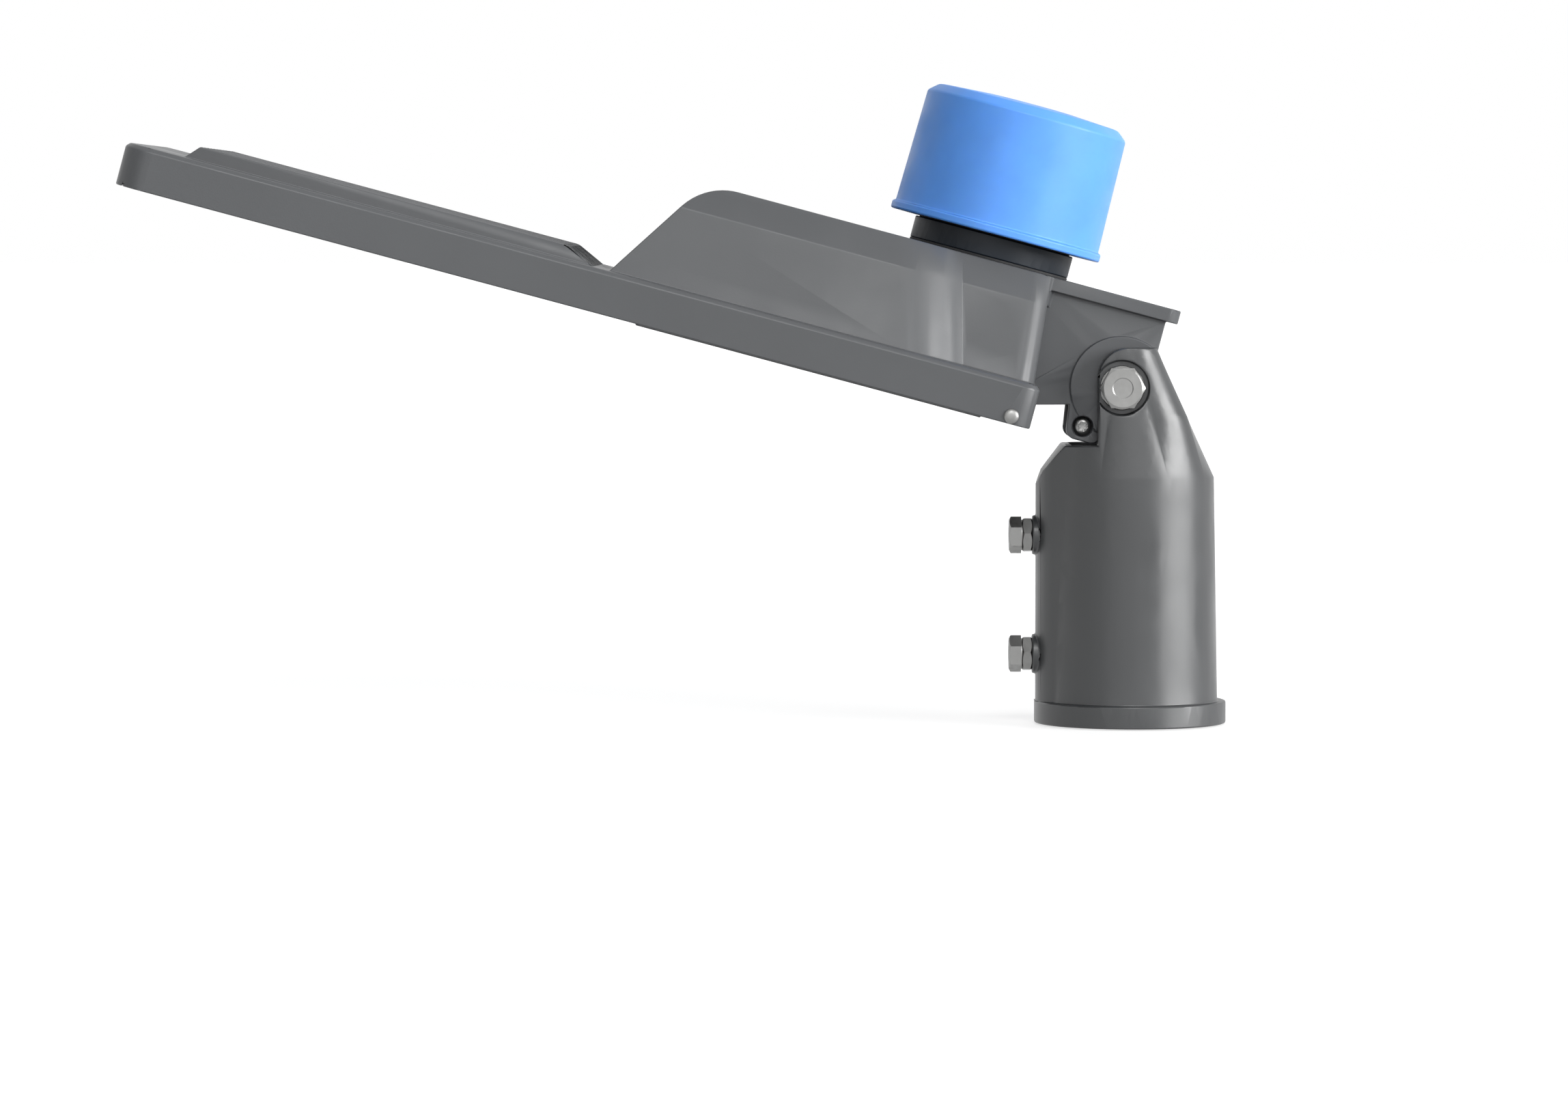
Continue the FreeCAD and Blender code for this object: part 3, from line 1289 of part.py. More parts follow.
def make_photocell():
    """Twist-lock photocell: base with blades and seal, inner board, and the cap over them."""
    socket_top = "(socket_seal + socket_height)"
    base_low = f"({socket_top} + cell_seal)"
    base_high = f"({base_low} + cell_base_thickness)"
    rim_low = f"({base_low} - cell_drop)"
    cap_top = f"({rim_low} + cell_height)"
    inner = "(cell_body_diameter / 2 - cell_wall)"
    inner_top = "(cell_top_diameter / 2 - cell_wall)"
    publish(turned("cap", [
        (inner, rim_low),
        ("cell_rim_diameter / 2", rim_low),
        ("cell_rim_diameter / 2", f"{rim_low} + cell_rim_height"),
        ("cell_body_diameter / 2", f"{rim_low} + cell_rim_height"),
        ("cell_top_diameter / 2", f"{cap_top} - cell_crown_height"),
        ("cell_top_diameter / 2 - cell_crown_inset", f"{cap_top} - cell_dome_drop"),
        ("cell_dome_radius", f"{cap_top} - cell_dome_rise"),
        ("0", cap_top),
        ("0", f"{cap_top} - cell_wall"),
        ("cell_dome_radius", f"{cap_top} - cell_dome_rise - cell_wall"),
        ("cell_top_diameter / 2 - cell_crown_inset - cell_wall",
         f"{cap_top} - cell_dome_drop - cell_wall"),
        (inner_top, f"{cap_top} - cell_crown_height - cell_wall / 2"),
        (inner, base_high),
    ]), "photocell_cap", cell_frame)
    disc = rod("cell_disc", ("0", "0", base_low), "Z", f"2 * ({inner} - cell_base_play)",
               "cell_base_thickness")
    pillars = []
    blades = []
    slots = []
    for number in range(3):
        turn = Rotation(AXIS["Z"], number * 120)
        pillar = rod(f"cell_pillar_{number}", ("0", "0", base_high), "Z", "cell_pillar_diameter",
                     "cell_pillar_height")
        swing = Rotation(AXIS["Z"], number * 120 + 60).multVec(Vector(1, 0, 0))
        place_at(pillar, (f"{swing.x} * cell_pillar_circle / 2", f"{swing.y} * cell_pillar_circle / 2",
                          base_high))
        pillars.append(pillar)
        bottom = f"({socket_top} - slot_depth + contact_height + blade_gap)"
        for kind, store in (("blade", blades), ("blade_way", slots)):
            piece = document.addObject("Part::Box", f"{kind}_{number}")
            bind(piece, Length="blade_outer_radius - blade_inner_radius", Width="blade_width",
                 Height=f"{base_high} - {bottom}")
            rest = turn.multVec(Vector(1, 0, 0))
            across = turn.multVec(Vector(0, 1, 0))
            place_at(piece, (
                f"{rest.x} * blade_inner_radius - {across.x} * blade_width / 2",
                f"{rest.y} * blade_inner_radius - {across.y} * blade_width / 2",
                bottom,
            ), turn)
            store.append(piece)
    publish(cut("cell_base", fuse("cell_base_blank", [disc] + pillars), slots), "photocell_base", cell_frame)
    publish(gather("blade_set", blades), "photocell_blades", cell_frame)
    publish(turned("cell_gasket", [
        ("cell_seal_inner / 2", socket_top),
        ("cell_seal_outer / 2", socket_top),
        ("cell_seal_outer / 2", base_low),
        ("cell_seal_inner / 2", base_low),
    ]), "photocell_seal", cell_frame)
    board_low = f"({base_high} + cell_pillar_height)"
    board_high = f"({board_low} + cell_board_thickness)"
    publish(rod("cell_board", ("0", "0", board_low), "Z", "cell_board_diameter", "cell_board_thickness"),
            "photocell_board", cell_frame)
    publish(block("relay", ("-cell_relay_length / 2", "-cell_relay_width / 2", board_high),
                  ("cell_relay_length / 2", "cell_relay_width / 2", f"{board_high} + cell_relay_height")),
            "photocell_relay", cell_frame)
    publish(rod("sensor", ("cell_sensor_offset", "0", board_high), "Z", "cell_sensor_diameter",
                "cell_sensor_height"), "light_sensor", cell_frame)


make_adaptor()
make_clamp_screws()
make_pivot_hardware()
make_grommet()
make_housing()
make_light_engine()
make_door()
make_control_gear()
make_gland()
make_earth_screw()
make_socket()
make_photocell()
document.recompute()

broken = [item.Name for item in document.Objects if {"Invalid", "Error"} & set(item.State)]
for part in parts:
    shape = part.Shape
    if shape.isNull() or not shape.isValid() or not shape.Solids:
        broken.append(part.Label)
if broken:
    raise SystemExit("failed: " + ", ".join(broken))

os.makedirs("parts", exist_ok=True)
for part in parts:
    part.Shape.exportStep(f"parts/{part.Label}.step")
    print(part.Label, len(part.Shape.Solids), round(part.Shape.Volume))
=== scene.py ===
import bmesh
import bpy
import json
import math
from mathutils import Matrix, Vector


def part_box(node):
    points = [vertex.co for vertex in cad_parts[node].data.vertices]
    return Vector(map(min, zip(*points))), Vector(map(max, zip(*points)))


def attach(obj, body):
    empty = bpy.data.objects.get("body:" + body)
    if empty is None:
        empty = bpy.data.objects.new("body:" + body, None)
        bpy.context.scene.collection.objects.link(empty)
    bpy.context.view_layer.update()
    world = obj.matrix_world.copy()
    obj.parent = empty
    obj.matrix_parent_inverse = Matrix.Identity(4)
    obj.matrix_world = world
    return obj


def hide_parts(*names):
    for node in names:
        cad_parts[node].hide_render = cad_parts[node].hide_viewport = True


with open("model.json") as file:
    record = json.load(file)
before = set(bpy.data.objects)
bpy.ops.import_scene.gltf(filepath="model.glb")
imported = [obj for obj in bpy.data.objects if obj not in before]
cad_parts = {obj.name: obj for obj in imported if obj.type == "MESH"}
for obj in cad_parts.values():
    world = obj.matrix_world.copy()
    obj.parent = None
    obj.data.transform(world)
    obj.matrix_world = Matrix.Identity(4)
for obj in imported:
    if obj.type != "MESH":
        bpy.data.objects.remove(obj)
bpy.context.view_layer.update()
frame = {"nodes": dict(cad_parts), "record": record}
nodes = frame["nodes"]
bodies = frame["record"]["behaviour"]["bodies"]
slots = {part["node"]: part["material_slot"] for part in frame["record"]["subparts"]}
body_of = {node: body for body, members in bodies.items() for node in members}

MM = 0.001
WORLD_UP = Vector((0, 0, 1))

# The head's own frame: forward to the tip, sideways towards the camera, and up through the head
TILT = math.radians(15)
FORWARD = Vector((-math.cos(TILT), 0, math.sin(TILT)))
SIDE = Vector((0, -1, 0))
UP = Vector((math.sin(TILT), 0, math.cos(TILT)))

# The pivot, and how far it is behind and above the corner that the head is measured from
PIVOT = Vector((-0.005, 0, 0.137))
PIVOT_BEHIND = 0.0338
PIVOT_ABOVE = 0.0247
HEAD_CORNER = PIVOT + FORWARD * PIVOT_BEHIND - UP * PIVOT_ABOVE

# Width across flats, head height and thread pitch of the large fasteners, and how much their nuts'
# bores are wider than the thread
M8_FLATS = 13 * MM
M8_HEAD = 5.3 * MM
M8_PITCH = 1.25 * MM
M10_FLATS = 16 * MM
M10_PITCH = 1.5 * MM
FIT = 0.02 * MM

# A noise texture seldom leaves this span, so it is the whole input of a ramp
NOISE_LOW = 0.3
NOISE_HIGH = 0.7

CAMERA_PLACE = Vector((-0.141, -2.5, 0.2025))
CAMERA_AIM = Vector((-0.141, 0, 0.069))
FOCAL_LENGTH = 141.1


def frame_at(origin, along, across):
    """Matrix whose Z runs along one direction and whose X leans towards another."""
    z_axis = along.normalized()
    x_axis = (across - z_axis * across.dot(z_axis)).normalized()
    y_axis = z_axis.cross(x_axis)
    matrix = Matrix((x_axis, y_axis, z_axis)).transposed().to_4x4()
    matrix.translation = origin
    return matrix


HEAD = Matrix((FORWARD, SIDE, UP)).transposed().to_4x4()
HEAD.translation = HEAD_CORNER
WORLD = Matrix.Identity(4)


# Materials


class Paint:
    """A Principled material with small helpers for its procedural nodes."""

    def __init__(self, name, color, roughness, metallic=0.0):
        self.material = bpy.data.materials.new(name)
        self.material.use_nodes = True
        self.tree = self.material.node_tree
        self.shader = self.tree.nodes["Principled BSDF"]
        self.set("Base Color", (*color, 1))
        self.set("Roughness", roughness)
        self.set("Metallic", metallic)
        self.color = color
        self.place = self.node("ShaderNodeTexCoord").outputs["Object"]
        self.normal = None

    def node(self, kind, **values):
        node = self.tree.nodes.new(kind)
        for key, value in values.items():
            setattr(node, key, value)
        return node

    def join(self, output, target):
        self.tree.links.new(output, target)

    def set(self, socket, value):
        self.shader.inputs[socket].default_value = value

    def stretched(self, scale):
        """The object's coordinates, scaled by a different amount along each axis."""
        mapping = self.node("ShaderNodeMapping")
        mapping.inputs["Scale"].default_value = scale
        self.join(self.place, mapping.inputs["Vector"])
        return mapping.outputs["Vector"]

    def noise(self, scale, detail=2.0, place=None):
        texture = self.node("ShaderNodeTexNoise")
        texture.inputs["Scale"].default_value = scale
        texture.inputs["Detail"].default_value = detail
        self.join(place or self.place, texture.inputs["Vector"])
        return texture.outputs["Fac"]

    def ramp(self, value, low, high):
        """Map a noise to a range of numbers."""
        spread = self.node("ShaderNodeMapRange", interpolation_type="SMOOTHSTEP")
        self.join(value, spread.inputs["Value"])
        spread.inputs["From Min"].default_value = NOISE_LOW
        spread.inputs["From Max"].default_value = NOISE_HIGH
        spread.inputs["To Min"].default_value = low
        spread.inputs["To Max"].default_value = high
        return spread.outputs["Result"]

    def blend(self, value, first, second):
        """Colour between two, by a 0 to 1 value."""
        mix = self.node("ShaderNodeMix", data_type="RGBA")
        self.join(value, mix.inputs["Factor"])
        for socket, color in ((6, first), (7, second)):
            if isinstance(color, tuple):
                mix.inputs[socket].default_value = (*color, 1)
            else:
                self.join(color, mix.inputs[socket])
        return mix.outputs[2]

    def color_from(self, output):
        self.join(output, self.shader.inputs["Base Color"])
        return self

    def roughness_from(self, output):
        self.join(output, self.shader.inputs["Roughness"])
        return self

    def bump(self, height, depth, strength):
        """Add a height map of the given depth in metres to the ones already there."""
        bump = self.node("ShaderNodeBump")
        bump.inputs["Strength"].default_value = strength
        bump.inputs["Distance"].default_value = depth
        self.join(height, bump.inputs["Height"])
        if self.normal:
            self.join(self.normal, bump.inputs["Normal"])
        self.normal = bump.outputs["Normal"]
        self.join(self.normal, self.shader.inputs["Normal"])
        return self

    def shade(self, amount, scale):
        """Vary the base colour lightly, up and down, over patches of one scale."""
        darker = tuple(channel * (1 - amount) for channel in self.color)
        lighter = tuple(min(channel * (1 + amount), 1) for channel in self.color)
        value = self.ramp(self.noise(scale, detail=3.0), 0, 1)
        return self.color_from(self.blend(value, darker, lighter))


def coated(name, color, roughness, grain, depth):
    """Powder coat: fine grain, soft mottling and a little uneven gloss."""
    paint = Paint(name, color, roughness)
    paint.shade(amount=0.04, scale=18)
    paint.roughness_from(paint.ramp(paint.noise(35, detail=3.0), roughness - 0.05, roughness + 0.06))
    paint.bump(paint.noise(grain, detail=3.0), depth, strength=0.5)
    paint.bump(paint.noise(grain / 9), depth * 2, strength=0.25)
    return paint


def bare_metal(name, color, roughness, marks, scale=(1, 1, 1)):
    """Metal with fine drawn or turned marks."""
    paint = Paint(name, color, roughness, metallic=1.0)
    fine = paint.noise(marks, detail=4.0, place=paint.stretched(scale))
    paint.roughness_from(paint.ramp(fine, roughness - 0.08, roughness + 0.1))
    darker = tuple(channel * 0.92 for channel in color)
    paint.color_from(paint.blend(paint.ramp(paint.noise(60, detail=3.0), 0, 1), darker, color))
    paint.bump(fine, depth=0.000006, strength=0.4)
    return paint


def moulded(name, color, roughness, grain=900, depth=0.00003):
    """Moulded plastic or rubber with a light spark-eroded grain."""
    paint = Paint(name, color, roughness)
    paint.shade(amount=0.06, scale=30)
    paint.roughness_from(paint.ramp(paint.noise(80, detail=3.0), roughness - 0.05, roughness + 0.07))
    paint.bump(paint.noise(grain), depth, strength=0.5)
    return paint


def see_through(name, color, alpha, roughness):
    """Clear pane or lens with a faint unevenness."""
    paint = Paint(name, color, roughness)
    paint.set("Alpha", alpha)
    paint.set("IOR", 1.5)
    paint.roughness_from(paint.ramp(paint.noise(50), roughness, roughness + 0.04))
    darker = tuple(channel * 0.94 for channel in color)
    paint.color_from(paint.blend(paint.noise(14), color, darker))
    paint.bump(paint.noise(40, detail=1.0), depth=0.00002, strength=0.4)
    return paint


def make_materials():
    """One material for each slot: a colour and a roughness, with its own grain where it needs one."""
    paints = {
        "housing_paint": coated("housing_paint", (0.072, 0.075, 0.079), 0.42, grain=1400, depth=0.00004),
        "adaptor_paint": coated("adaptor_paint", (0.036, 0.038, 0.040), 0.34, grain=1100, depth=0.00002),
        "steel": bare_metal("steel", (0.27, 0.27, 0.265), 0.36, marks=500),
        "sheet_steel": bare_metal("sheet_steel", (0.50, 0.51, 0.53), 0.34, marks=240, scale=(1, 8, 1)),
        "rubber": moulded("rubber", (0.018, 0.018, 0.019), 0.78),
        "board_white": moulded("board_white", (0.82, 0.83, 0.81), 0.32, grain=400, depth=0.00001),
        "board_green": moulded("board_green", (0.02, 0.15, 0.06), 0.30, grain=400, depth=0.00001),
        "phosphor": moulded("phosphor", (0.86, 0.66, 0.13), 0.25, grain=1600, depth=0.00001),
        "clear_lens": see_through("clear_lens", (0.93, 0.95, 0.96), alpha=0.30, roughness=0.05),
        "clear_glass": see_through("clear_glass", (0.80, 0.88, 0.87), alpha=0.16, roughness=0.02),
        "driver_case": moulded("driver_case", (0.62, 0.62, 0.60), 0.45),
        "surge_case": moulded("surge_case", (0.022, 0.022, 0.025), 0.42),
        "terminal_nylon": moulded("terminal_nylon", (0.78, 0.76, 0.68), 0.40),
        "gland_nylon": moulded("gland_nylon", (0.014, 0.014, 0.015), 0.48),
        "socket_black": moulded("socket_black", (0.005, 0.009, 0.015), 0.45),
        "relay_case": moulded("relay_case", (0.03, 0.08, 0.30), 0.30),
        "cap_blue": moulded("cap_blue", (0.112, 0.34, 0.88), 0.42, grain=700, depth=0.00002),
        "brass": bare_metal("brass", (0.80, 0.58, 0.22), 0.26, marks=700),
    }
    paints["adaptor_paint"].set("Specular IOR Level", 0.7)
    paints["socket_black"].set("Specular IOR Level", 0.3)
    paints["cap_blue"].set("Subsurface Weight", 0.3)
    paints["cap_blue"].set("Subsurface Radius", (0.002, 0.004, 0.010))
    paints["cap_blue"].set("Specular IOR Level", 0.35)
    return {name: paint.material for name, paint in paints.items()}


materials = make_materials()


# Mesh helpers


def place_mesh(name, mesh, slot, smooth):
    """Put a mesh in the scene with a slot's material; edges above an angle in degrees stay sharp."""
    piece = bpy.data.objects.new(name, mesh)
    bpy.context.scene.collection.objects.link(piece)
    mesh.materials.append(materials[slot])
    mesh.shade_smooth()
    mesh.set_sharp_from_angle(angle=math.radians(smooth))
    return piece


def finish_piece(name, mesh, node, slot=None, smooth=35):
    """Put a mesh in the scene as the piece that stands for a CAD node."""
    slot = slot or slots[node]
    piece = place_mesh(name, mesh, slot, smooth)
    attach(piece, body_of[node])
    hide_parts(node)
    return piece


def detail(name, mesh, body, slot, smooth=35):
    """Put a mesh in the scene as a small piece of its own."""
    piece = place_mesh(name, mesh, slot, smooth)
    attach(piece, body)


def welded(node):
    """The node's mesh with its seams closed."""
    seam = 2e-6
    bm = bmesh.new()
    bm.from_mesh(nodes[node].data)
    bmesh.ops.remove_doubles(bm, verts=bm.verts, dist=seam)
    return bm


def dress(node, bevel, smooth=32, segments=2, harden=False):
    """Copy of a CAD node with closed seams, smooth curves and edges broken by a bevel in millimetres.

    Hardened normals suit wide flat faces beside slow curves; the others are weighted by face area."""
    bm = welded(node)
    flat = math.radians(0.02)
    bmesh.ops.dissolve_limit(bm, angle_limit=flat, verts=bm.verts, edges=bm.edges)
    mesh = bpy.data.meshes.new(node + "_dressed")
    bm.to_mesh(mesh)
    bm.free()
    piece = finish_piece(node + "_dressed", mesh, node, smooth=smooth)
    edge = piece.modifiers.new("Edges", "BEVEL")
    edge.width = bevel * MM
    edge.segments = segments
    edge.limit_method = "ANGLE"
    edge.angle_limit = math.radians(smooth)
    edge.use_clamp_overlap = False
    edge.harden_normals = harden
    if not harden:
        normals = piece.modifiers.new("Normals", "WEIGHTED_NORMAL")
        normals.keep_sharp = True


def islands(node):
    """Vertex positions of each separate solid of a CAD node."""
    bm = welded(node)
    seen = set()
    found = []
    for start in bm.verts:
        if start in seen:
            continue
        seen.add(start)
        queue = [start]
        points = []
        while queue:
            vertex = queue.pop()
            points.append(vertex.co.copy())
            for edge in vertex.link_edges:
                other = edge.other_vert(vertex)
                if other not in seen:
                    seen.add(other)
                    queue.append(other)
        found.append(points)
    bm.free()
    return found


def extent(points, matrix):
    """Lowest and highest corner of points, seen in another frame."""
    inverse = matrix.inverted()
    local = [inverse @ point for point in points]
    low = Vector([min(point[axis] for point in local) for axis in range(3)])
    high = Vector([max(point[axis] for point in local) for axis in range(3)])
    return low, high


def head_span(node):
    """Lowest and highest corner of a CAD node in the head's frame."""
    return extent([vertex.co for vertex in nodes[node].data.vertices], HEAD)


def middle_at(low, high, height):
    """Middle of a box seen from above, at a height."""
    return Vector(((low.x + high.x) / 2, (low.y + high.y) / 2, height))


def raised(matrix, height):
    """The same frame, moved along its own Z."""
    return matrix @ Matrix.Translation((0, 0, height))


def ring_mesh(bm, rings, matrix, closed=True):
    """Skin through rings of the same count of points, with its two ends filled if it is closed."""
    rows = [[bm.verts.new(matrix @ Vector(point)) for point in ring] for ring in rings]
    for lower, upper in zip(rows, rows[1:]):
        count = len(lower)
        for index in range(count):
            following = (index + 1) % count
            bm.faces.new((lower[index], lower[following], upper[following], upper[index]))
    if closed:
        bm.faces.new(list(reversed(rows[0])))
        bm.faces.new(rows[-1])


def circle(radius, height, steps=48, shape=None):
    """Ring of points; the shape function scales the radius by angle."""
    points = []
    for index in range(steps):
        angle = 2 * math.pi * index / steps
        reach = radius * (shape(angle) if shape else 1)
        points.append((reach * math.cos(angle), reach * math.sin(angle), height))
    return points


def profile(pairs, steps=48):
    """Rings from pairs of radius and height in millimetres."""
    return [circle(radius * MM, height * MM, steps) for radius, height in pairs]


# Points around a hexagon, a whole number for each side
HEX_STEPS = 72


def hexagon(angle):
    """Distance to the side of a hexagon of inner radius 1."""
    return 1 / math.cos((angle + math.pi / 6) % (math.pi / 3) - math.pi / 6)


def star(angle):
    """Six-lobed driver recess."""
    return 1 + 0.14 * math.cos(6 * angle)


def hex_ring(flats, height, chamfer, top):
    """Hexagon's outline, drawn down where its corners are turned off at 30 degrees."""
    slope = math.tan(math.radians(30))
    points = []
    for x, y, z in circle(flats / 2, height, HEX_STEPS, hexagon):
        over = math.hypot(x, y) - chamfer
        drop = max(over, 0) * slope
        points.append((x, y, z - drop if top else z + drop))
    return points


def hex_head(bm, matrix, flats, height):
    """Screw head with a washer face below, and turned corners and a shallow dish above."""
    face = flats / 2 * 0.96
    skirt = 0.35 * MM
    ring_mesh(bm, [
        circle(face, 0, HEX_STEPS),
        circle(face, skirt, HEX_STEPS),
        circle(flats / 2, skirt, HEX_STEPS, hexagon),
        hex_ring(flats, height, face, True),
        circle(face, height, HEX_STEPS),
        circle(face * 0.55, height, HEX_STEPS),
        circle(face * 0.50, height - 0.25 * MM, HEX_STEPS),
    ], matrix)


def hex_nut(bm, matrix, flats, height, bore, collar=0.0):
    """Nut with both faces turned, and a round collar where it has a locking insert."""
    face = flats / 2 * 0.95
    body = height - collar
    mouth = bore + 0.5 * MM
    sink = 0.4 * MM
    rings = [
        circle(bore, sink, HEX_STEPS),
        circle(mouth, 0, HEX_STEPS),
        circle(face, 0, HEX_STEPS),
        hex_ring(flats, 0, face, False),
        hex_ring(flats, body, face, True),
        circle(face, body, HEX_STEPS),
    ]
    if collar:
        rings.append(circle(face * 0.93, body, HEX_STEPS))
        rings.append(circle(face * 0.90, height - sink, HEX_STEPS))
        rings.append(circle(face * 0.82, height, HEX_STEPS))
    rings.append(circle(mouth, height, HEX_STEPS))
    rings.append(circle(bore, height - sink, HEX_STEPS))
    ring_mesh(bm, rings, matrix, closed=False)


def thread(bm, matrix, radius, start, end, pitch):
    """Threaded length with a chamfered end, running along the frame's Z."""
    steps = 36
    rows_in_a_turn = 8
    depth = 0.6 * pitch
    chamfer = 0.7 * MM
    rows = max(2, int((end - start) / pitch * rows_in_a_turn))
    rings = []
    for row in range(rows + 1):
        height = start + (end - start) * row / rows
        left = end - height
        ring = []
        for index in range(steps):
            angle = 2 * math.pi * index / steps
            phase = (height / pitch - index / steps) % 1
            groove = abs(2 * phase - 1) * depth
            reach = min(radius - groove, radius - chamfer + left)
            ring.append((reach * math.cos(angle), reach * math.sin(angle), height))
        rings.append(ring)
    ring_mesh(bm, rings, matrix)


def recess(drive, face, depth, taper):
    """Rings of a six-lobed driver recess that goes down from a face."""
    return [
        circle(drive * 1.12, face, shape=star),
        circle(drive, face - 0.08 * MM, shape=star),
        circle(drive * taper, face - depth, shape=star),
        circle(drive * 0.3, face - depth * 1.1, shape=star),
    ]


def round_head(bm, matrix, radius, height, drive):
    """Domed screw head with a driver recess, rising along the frame's Z."""
    crown = 0.55
    rings = [circle(radius * 0.96, 0), circle(radius, height * 0.12)]
    for share in (0.35, 0.6, 0.8, 0.93):
        angle = share * math.pi / 2
        reach = radius * (1 - crown * (1 - math.cos(angle)))
        rings.append(circle(reach, height * math.sin(angle)))
    ring_mesh(bm, rings + recess(drive, height, height * 0.6, 0.96), matrix)


def sunk_head(bm, matrix, radius, height, drive, neck):
    """Flush screw head with a driver recess: its face is at the frame's origin, its cone below."""
    face = -0.04 * MM
    rim = 0.03 * MM
    cone = [circle(neck, -height), circle(radius * 0.985, face - rim), circle(radius * 0.95, face)]
    ring_mesh(bm, cone + recess(drive, face, height * 0.7, 0.92), matrix)


def rod(bm, matrix, radius, start, end):
    """Plain rod with broken ends, along the frame's Z."""
    steps = 32
    rim = 0.2 * MM
    ring_mesh(bm, [
        circle(radius - rim, start, steps),
        circle(radius, start + rim, steps),
        circle(radius, end - rim, steps),
        circle(radius - rim, end, steps),
    ], matrix)


def rounded_box(bm, low, high, corner, edge):
    """Box with round upright corners and chamfered rims, in millimetres of the head's frame."""
    centre = [(a + b) / 2 for a, b in zip(low, high)]
    half = [(b - a) / 2 for a, b in zip(low, high)]
    steps = 4
    least_corner = 0.05

    def outline(shrink, height):
        points = []
        reach = max(corner - shrink, least_corner)
        for quarter in range(4):
            corner_x = (half[0] - shrink - reach) * (1 if quarter in (0, 3) else -1)
            corner_y = (half[1] - shrink - reach) * (1 if quarter in (0, 1) else -1)
            for step in range(steps + 1):
                angle = math.radians(90 * (quarter + step / steps))
                x = centre[0] + corner_x + reach * math.cos(angle)
                y = centre[1] + corner_y + reach * math.sin(angle)
                points.append((x * MM, y * MM, height * MM))
        return points

    ring_mesh(bm, [
        outline(edge, low[2]),
        outline(0, low[2] + edge),
        outline(0, high[2] - edge),
        outline(edge, high[2]),
    ], HEAD)


def mesh_of(name, build):
    """Mesh filled by a function that draws into a bmesh."""
    bm = bmesh.new()
    build(bm)
    bmesh.ops.recalc_face_normals(bm, faces=bm.faces)
    mesh = bpy.data.meshes.new(name)
    bm.to_mesh(mesh)
    bm.free()
    return mesh


# Castings and mouldings, close to the solids


def dress_castings():
    """Pieces that follow their CAD node, with edges broken from 0.8 mm down to 0.2 mm."""
    dress("housing", 0.5, harden=True)
    dress("spigot_adaptor", 0.6)
    dress("photocell_cap", 0.8, smooth=20, segments=3)
    dress("photocell_socket", 0.5)
    for node in ("gear_door", "glass_bezel", "gear_plate", "cable_grommet", "photocell_base"):
        dress(node, 0.35)
    for node in ("cover_glass", "glass_seal", "door_seal", "led_board", "socket_seal_ring",
                 "photocell_seal", "photocell_board", "socket_contacts", "photocell_blades"):
        dress(node, 0.2)


# Fasteners


def make_clamp_screws():
    """Hexagon screws and lock nuts of the pole clamp, each turned as it stopped when tightened."""
    outward = Vector((-1, 0, 0))
    view = frame_at(Vector(), outward, WORLD_UP)
    screw_turn = Vector((0, 0.5, 1))
    nut_turn = Vector((0, 0.12, 1))
    screw_radius = 4 * MM

    def screws(bm):
        for points in islands("clamp_screws"):
            low, high = extent(points, view)
            axis = Vector((0, 0, (low.x + high.x) / 2))
            head = high.z - M8_HEAD
            hex_head(bm, raised(frame_at(axis, outward, screw_turn), head), M8_FLATS, M8_HEAD)
            back = frame_at(axis, -outward, WORLD_UP)
            thread(bm, back, screw_radius, -head - 0.5 * MM, -low.z, M8_PITCH)

    def nuts(bm):
        for points in islands("clamp_lock_nuts"):
            low, high = extent(points, view)
            axis = Vector((0, 0, (low.x + high.x) / 2))
            matrix = raised(frame_at(axis, outward, nut_turn), low.z)
            hex_nut(bm, matrix, M8_FLATS, high.z - low.z, screw_radius + FIT)

    finish_piece("clamp_screws_detailed", mesh_of("clamp_screws", screws), "clamp_screws", smooth=25)
    finish_piece("clamp_nuts_detailed", mesh_of("clamp_nuts", nuts), "clamp_lock_nuts", smooth=25)


def make_pivot_fasteners():
    """Bolt, lock nut and washers of the tilt joint."""
    low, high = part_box("pivot_bolt")
    washer_low, washer_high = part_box("pivot_washers")
    seat = -washer_low.y
    bolt_radius = 5 * MM
    collar = 2.4 * MM
    near = frame_at(PIVOT, SIDE, WORLD_UP)
    far = frame_at(PIVOT, -SIDE, WORLD_UP)

    def bolt(bm):
        hex_head(bm, raised(near, seat), M10_FLATS, -low.y - seat)
        rod(bm, far, bolt_radius, -seat - 0.2 * MM, seat - 6 * MM)
        thread(bm, far, bolt_radius, seat - 6.5 * MM, high.y, M10_PITCH)

    def nut(bm):
        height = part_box("pivot_nut")[1].y - seat
        hex_nut(bm, raised(far, seat), M10_FLATS, height, bolt_radius + FIT, collar)

    def washers(bm):
        inner = seat - 2 * MM
        radius = (washer_high.x - washer_low.x) / 2
        bore = bolt_radius + FIT
        mouth = 5.25 * MM
        for matrix in (near, far):
            ring_mesh(bm, [
                circle(bore, inner + 0.1 * MM),
                circle(mouth, inner),
                circle(radius - 0.3 * MM, inner),
                circle(radius, inner + 0.4 * MM),
                circle(radius, seat - 0.4 * MM),
                circle(radius - 0.3 * MM, seat),
                circle(mouth, seat),
                circle(bore, seat - 0.1 * MM),
            ], matrix, closed=False)

    finish_piece("pivot_bolt_detailed", mesh_of("pivot_bolt", bolt), "pivot_bolt", smooth=25)
    finish_piece("pivot_nut_detailed", mesh_of("pivot_nut", nut), "pivot_nut", smooth=25)
    finish_piece("pivot_washers_detailed", mesh_of("washers", washers), "pivot_washers", smooth=25)


